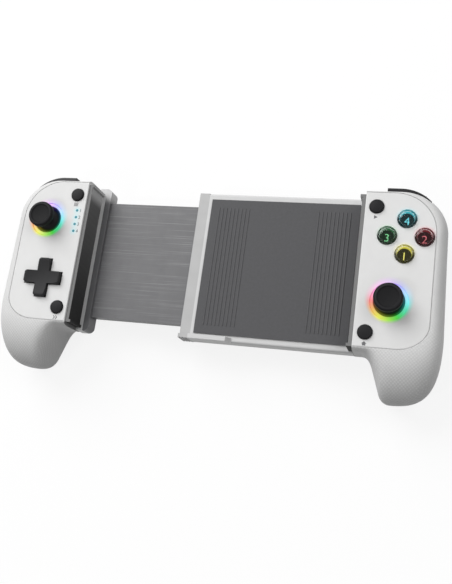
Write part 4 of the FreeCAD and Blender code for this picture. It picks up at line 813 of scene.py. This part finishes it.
# Dress the CAD pieces
print("materials")
lightDot = 1.5 * mm             # how wide one status light is
lightLow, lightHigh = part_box("status_lights")
lightStep = (lightHigh.y - lightLow.y - lightDot) / 3
lightSpots = [
    Vector(((lightLow.x + lightHigh.x) / 2, lightHigh.y - lightDot / 2 - lightStep * index, 0)) / mm
    for index in range(4)
]
for side in ("right", "left"):
    dress(panelPaint(side), f"{side}_front_panel")
    dress(ringPaint(side), f"{side}_light_ring")
dress(shellPaint(), "right_front_shell", "right_rear_shell", "left_front_shell", "left_rear_shell")
for name, plastic in plastics.items():
    dress(satinPaint(name), *plastic["pieces"])
for name in ("bridgePadRubber", "matSilicone"):
    dress(rubberPaint(name), *rubbers[name]["pieces"])
dress(phonePadPaint(), "right_phone_pad", "left_phone_pad")
dress(crownPaint(), "right_stick_cap", "left_stick_cap")
for number in coreGlow:
    dress(lensPaint(number), f"face_button_{number}_lens")
    dress(corePaint(number), f"face_button_{number}_core")
dress(inkPaint("statusCyan", (0.03, 0.20, 0.25), 0.2), "status_lights")
steel = metalPaint("screwSteel", (0.56, 0.56, 0.58), 0.3)
dress(steel, "right_shell_screws", "left_shell_screws", "bridge_screws", "right_shoulder_pins",
      "left_shoulder_pins", "charging_port", "retract_springs", "dpad_pivot")
dress(boardPaint(), "right_board", "left_board")

# Figures and signs
print("marks")
marks = {
    "faceHeight": 4.0 * mm,
    "faceThickness": 0.06 * mm,
    "faceLift": 0.05 * mm,
    "faceDrop": 1.6 * mm,       # below the middle of the button
    "slimmer": 0.008,           # off the figures' strokes, as a share of the type's size
    "faceBright": {1: 0.72, 2: 0.42, 3: 0.64, 4: 0.60},
    "printThickness": 0.03 * mm,
    "lightHeight": 1.9 * mm,
    "lightAside": 2.2 * mm,     # from a status light to its figure
    "signSize": 1.7 * mm,
    "signDrop": 5.9 * mm,       # below the middle of the small button
}
signs = {                       # outlines as shares of the sign's size
    "start_button": [[(-0.55, -0.6), (0.6, 0.0), (-0.55, 0.6)]],
    "select_button": [
        [(-0.8, 0.32), (0.8, 0.32), (0.8, 0.58), (-0.8, 0.58)],
        [(-0.8, -0.13), (0.8, -0.13), (0.8, 0.13), (-0.8, 0.13)],
        [(-0.8, -0.58), (0.8, -0.58), (0.8, -0.32), (-0.8, -0.32)],
    ],
    "home_button": [
        [(-0.8, 0.0), (-0.5, 0.0), (-0.5, -0.6), (0.5, -0.6), (0.5, 0.0), (0.8, 0.0), (0.0, 0.7)],
    ],
    "turbo_button": [
        [(-0.8, -0.6), (-0.45, -0.6), (0.0, 0.0), (-0.45, 0.6), (-0.8, 0.6), (-0.35, 0.0)],
        [(0.0, -0.6), (0.35, -0.6), (0.8, 0.0), (0.35, 0.6), (0.0, 0.6), (0.45, 0.0)],
    ],
}
faceTop = topOf("right_front_panel")
for number, tint in coreGlow.items():
    core = middleOf(f"face_button_{number}_core")
    lift = topOf(f"face_button_{number}_core") + marks["faceLift"]
    centre = Vector((core.x, core.y - marks["faceDrop"], lift))
    bright = [part * marks["faceBright"][number] + 0.05 for part in tint]
    numeral(f"face_mark_{number}", str(number), centre, marks["faceHeight"], marks["faceThickness"],
            inkPaint(f"faceInk{number}", bright, 0.2), f"face_button_{number}", marks["slimmer"])
printInk = inkPaint("printInk", (0.12, 0.12, 0.125))
lightInk = inkPaint("lightInk", (0.03, 0.045, 0.05))
for index, spot in enumerate(lightSpots):
    centre = Vector((
        spot.x * mm + marks["lightAside"],
        spot.y * mm,
        faceTop + marks["printThickness"] / 2,
    ))
    numeral(f"light_mark_{index + 1}", str(index + 1), centre, marks["lightHeight"], marks["printThickness"],
            lightInk, "left_grip")
for name, outlines in signs.items():
    centre = middleOf(name)
    centre.y -= marks["signDrop"]
    centre.z = faceTop
    side = "right" if centre.x > 0 else "left"
    flatMark(f"{name}_sign", outlines, centre, marks["signSize"], marks["printThickness"], printInk,
             f"{side}_grip")

# Anti-slip ribs on the bridge pad
print("ribs")
padRibs = {
    "count": 9,
    "step": 2.2 * mm,
    "fromEnd": 5.0 * mm,
    "shortBy": 10.0 * mm,
    "radius": 0.45 * mm,
    "sunk": 0.15 * mm,          # a rib's middle line below the pad's face
    "sides": 10,
}
tree = ribTree()
padLow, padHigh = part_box("bridge_pad")
ribFinish = rubberPaint("ribRubber")
rowLength = padRibs["step"] * (padRibs["count"] - 1)
starts = {"left": padLow.x + padRibs["fromEnd"], "right": padHigh.x - padRibs["fromEnd"] - rowLength}
for place, startX in starts.items():
    grown(f"bridge_pad_ribs_{place}", tree, {
        "Count": padRibs["count"],
        "Start": (startX, (padLow.y + padHigh.y) / 2, padHigh.z - padRibs["sunk"]),
        "Step": (padRibs["step"], 0.0, 0.0),
        "Bar": (0.0, padHigh.y - padLow.y - padRibs["shortBy"], 0.0),
        "Radius": padRibs["radius"],
        "Sides": padRibs["sides"],
        "Finish": ribFinish,
    }, "right_grip")

# The two coil springs in the bridge, drawn at one length; the real ones shorten as it slides shut
print("springs")
coils = {
    "count": 2,
    "turns": 102.0,
    "wire": 0.25 * mm,
    "points": 12,               # along one turn
    "sides": 6,
}
springLow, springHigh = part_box("retract_springs")
springRadius = (springHigh.z - springLow.z) / 2
springAxis = springLow.y + springRadius
springZ = springLow.z + springRadius
springPair = grown("pull_springs", springTree(), {
    "Count": coils["count"],
    "Start": (springLow.x + coils["wire"], springAxis, springZ),
    "Step": (0.0, springHigh.y - springLow.y - springRadius * 2, 0.0),
    "Length": springHigh.x - springLow.x - coils["wire"] * 2,
    "Turns": coils["turns"],
    "Radius": springRadius - coils["wire"],
    "Wire": coils["wire"],
    "Points": coils["points"],
    "Sides": coils["sides"],
    "Finish": steel,
})
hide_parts("retract_springs")
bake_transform(springPair)

# Floor, light and camera
print("stage")
stage = {
    "floorHalf": 3.0,
    "floorShade": 0.15,         # how much of the floor's brightness the shadow can take
    "floorBounce": 0.35,        # how light the floor is for what lies on it
    "worldStrength": 0.27,
}
lamps = {
    "key": {"place": (-1.05, 1.15, 1.30), "size": 1.6, "watts": 39.0},
    "fill": {"place": (0.9, 0.5, 1.2), "size": 0.8, "watts": 5.0},
    "glint": {"place": (-0.35, -0.45, 0.75), "size": 0.08, "watts": 0.7},
}
camera = {
    "place": (0.1259, -0.1074, 0.4305),
    "target": (0.0110, -0.0089, 0.0350),
    "turn": math.radians(7.95),     # how far the picture's top leans from +Y towards -X
    "lens": 48.89,
}


def floorPaint():
    # For the camera the floor is partly its own light, so that it stays white round a soft shadow
    paint = newPaint("paleFloor")
    cloud = paint.noise(paint.place(), 400.0)
    bounce = paint.mix(cloud, tone(stage["floorBounce"]), tone(stage["floorBounce"] + 0.03))
    plain = paint.add("ShaderNodeBsdfDiffuse", {}, {"Color": bounce})
    shade = stage["floorShade"]
    dim = paint.add("ShaderNodeBsdfDiffuse", {}, {"Color": tone(shade)})
    own = paint.add("ShaderNodeEmission", {}, {"Color": tone(1.0), "Strength": 1.0 - shade})
    seen = paint.add("ShaderNodeAddShader", {}, {0: dim, 1: own})
    surface = paint.add("ShaderNodeMixShader", {}, {0: seenRays(paint), 1: plain, 2: seen})
    paint.add("ShaderNodeOutputMaterial", {}, {"Surface": surface})
    return paint.owner


half = stage["floorHalf"]
floorMesh = bpy.data.meshes.new("floor")
floorCorners = [(-half, -half, 0), (half, -half, 0), (half, half, 0), (-half, half, 0)]
floorMesh.from_pydata(floorCorners, [], [(0, 1, 2, 3)])
floorMesh.materials.append(floorPaint())
floor = bpy.data.objects.new("floor", floorMesh)
bpy.context.scene.collection.objects.link(floor)

# The world is plain white where it shows, and dimmer as light
world = bpy.data.worlds.new("studio")
bpy.context.scene.world = world
sky = Paint(world)
level = sky.fade(seenRays(sky), 0.0, 1.0, stage["worldStrength"], 1.0)
background = sky.add("ShaderNodeBackground", {}, {"Color": tone(1.0), "Strength": level})
sky.add("ShaderNodeOutputWorld", {}, {"Surface": background})

for name, lamp in lamps.items():
    data = bpy.data.lights.new(name, "AREA")
    data.size = lamp["size"]
    data.energy = lamp["watts"]
    holder = bpy.data.objects.new(name, data)
    holder.location = lamp["place"]
    holder.rotation_euler = (-Vector(lamp["place"])).to_track_quat("-Z", "Y").to_euler()
    bpy.context.scene.collection.objects.link(holder)

cameraData = bpy.data.cameras.new("camera")
cameraData.lens = camera["lens"]
cameraData.clip_start = 0.01
place = Vector(camera["place"])
back = (place - Vector(camera["target"])).normalized()
hint = Vector((-math.sin(camera["turn"]), math.cos(camera["turn"]), 0.0))
right = hint.cross(back).normalized()
upward = back.cross(right)
cameraObject = bpy.data.objects.new("camera", cameraData)
cameraObject.matrix_world = Matrix.Translation(place) @ Matrix((right, upward, back)).transposed().to_4x4()
bpy.context.scene.collection.objects.link(cameraObject)
bpy.context.scene.camera = cameraObject
bpy.context.scene.view_settings.view_transform = "Standard"

print("done")
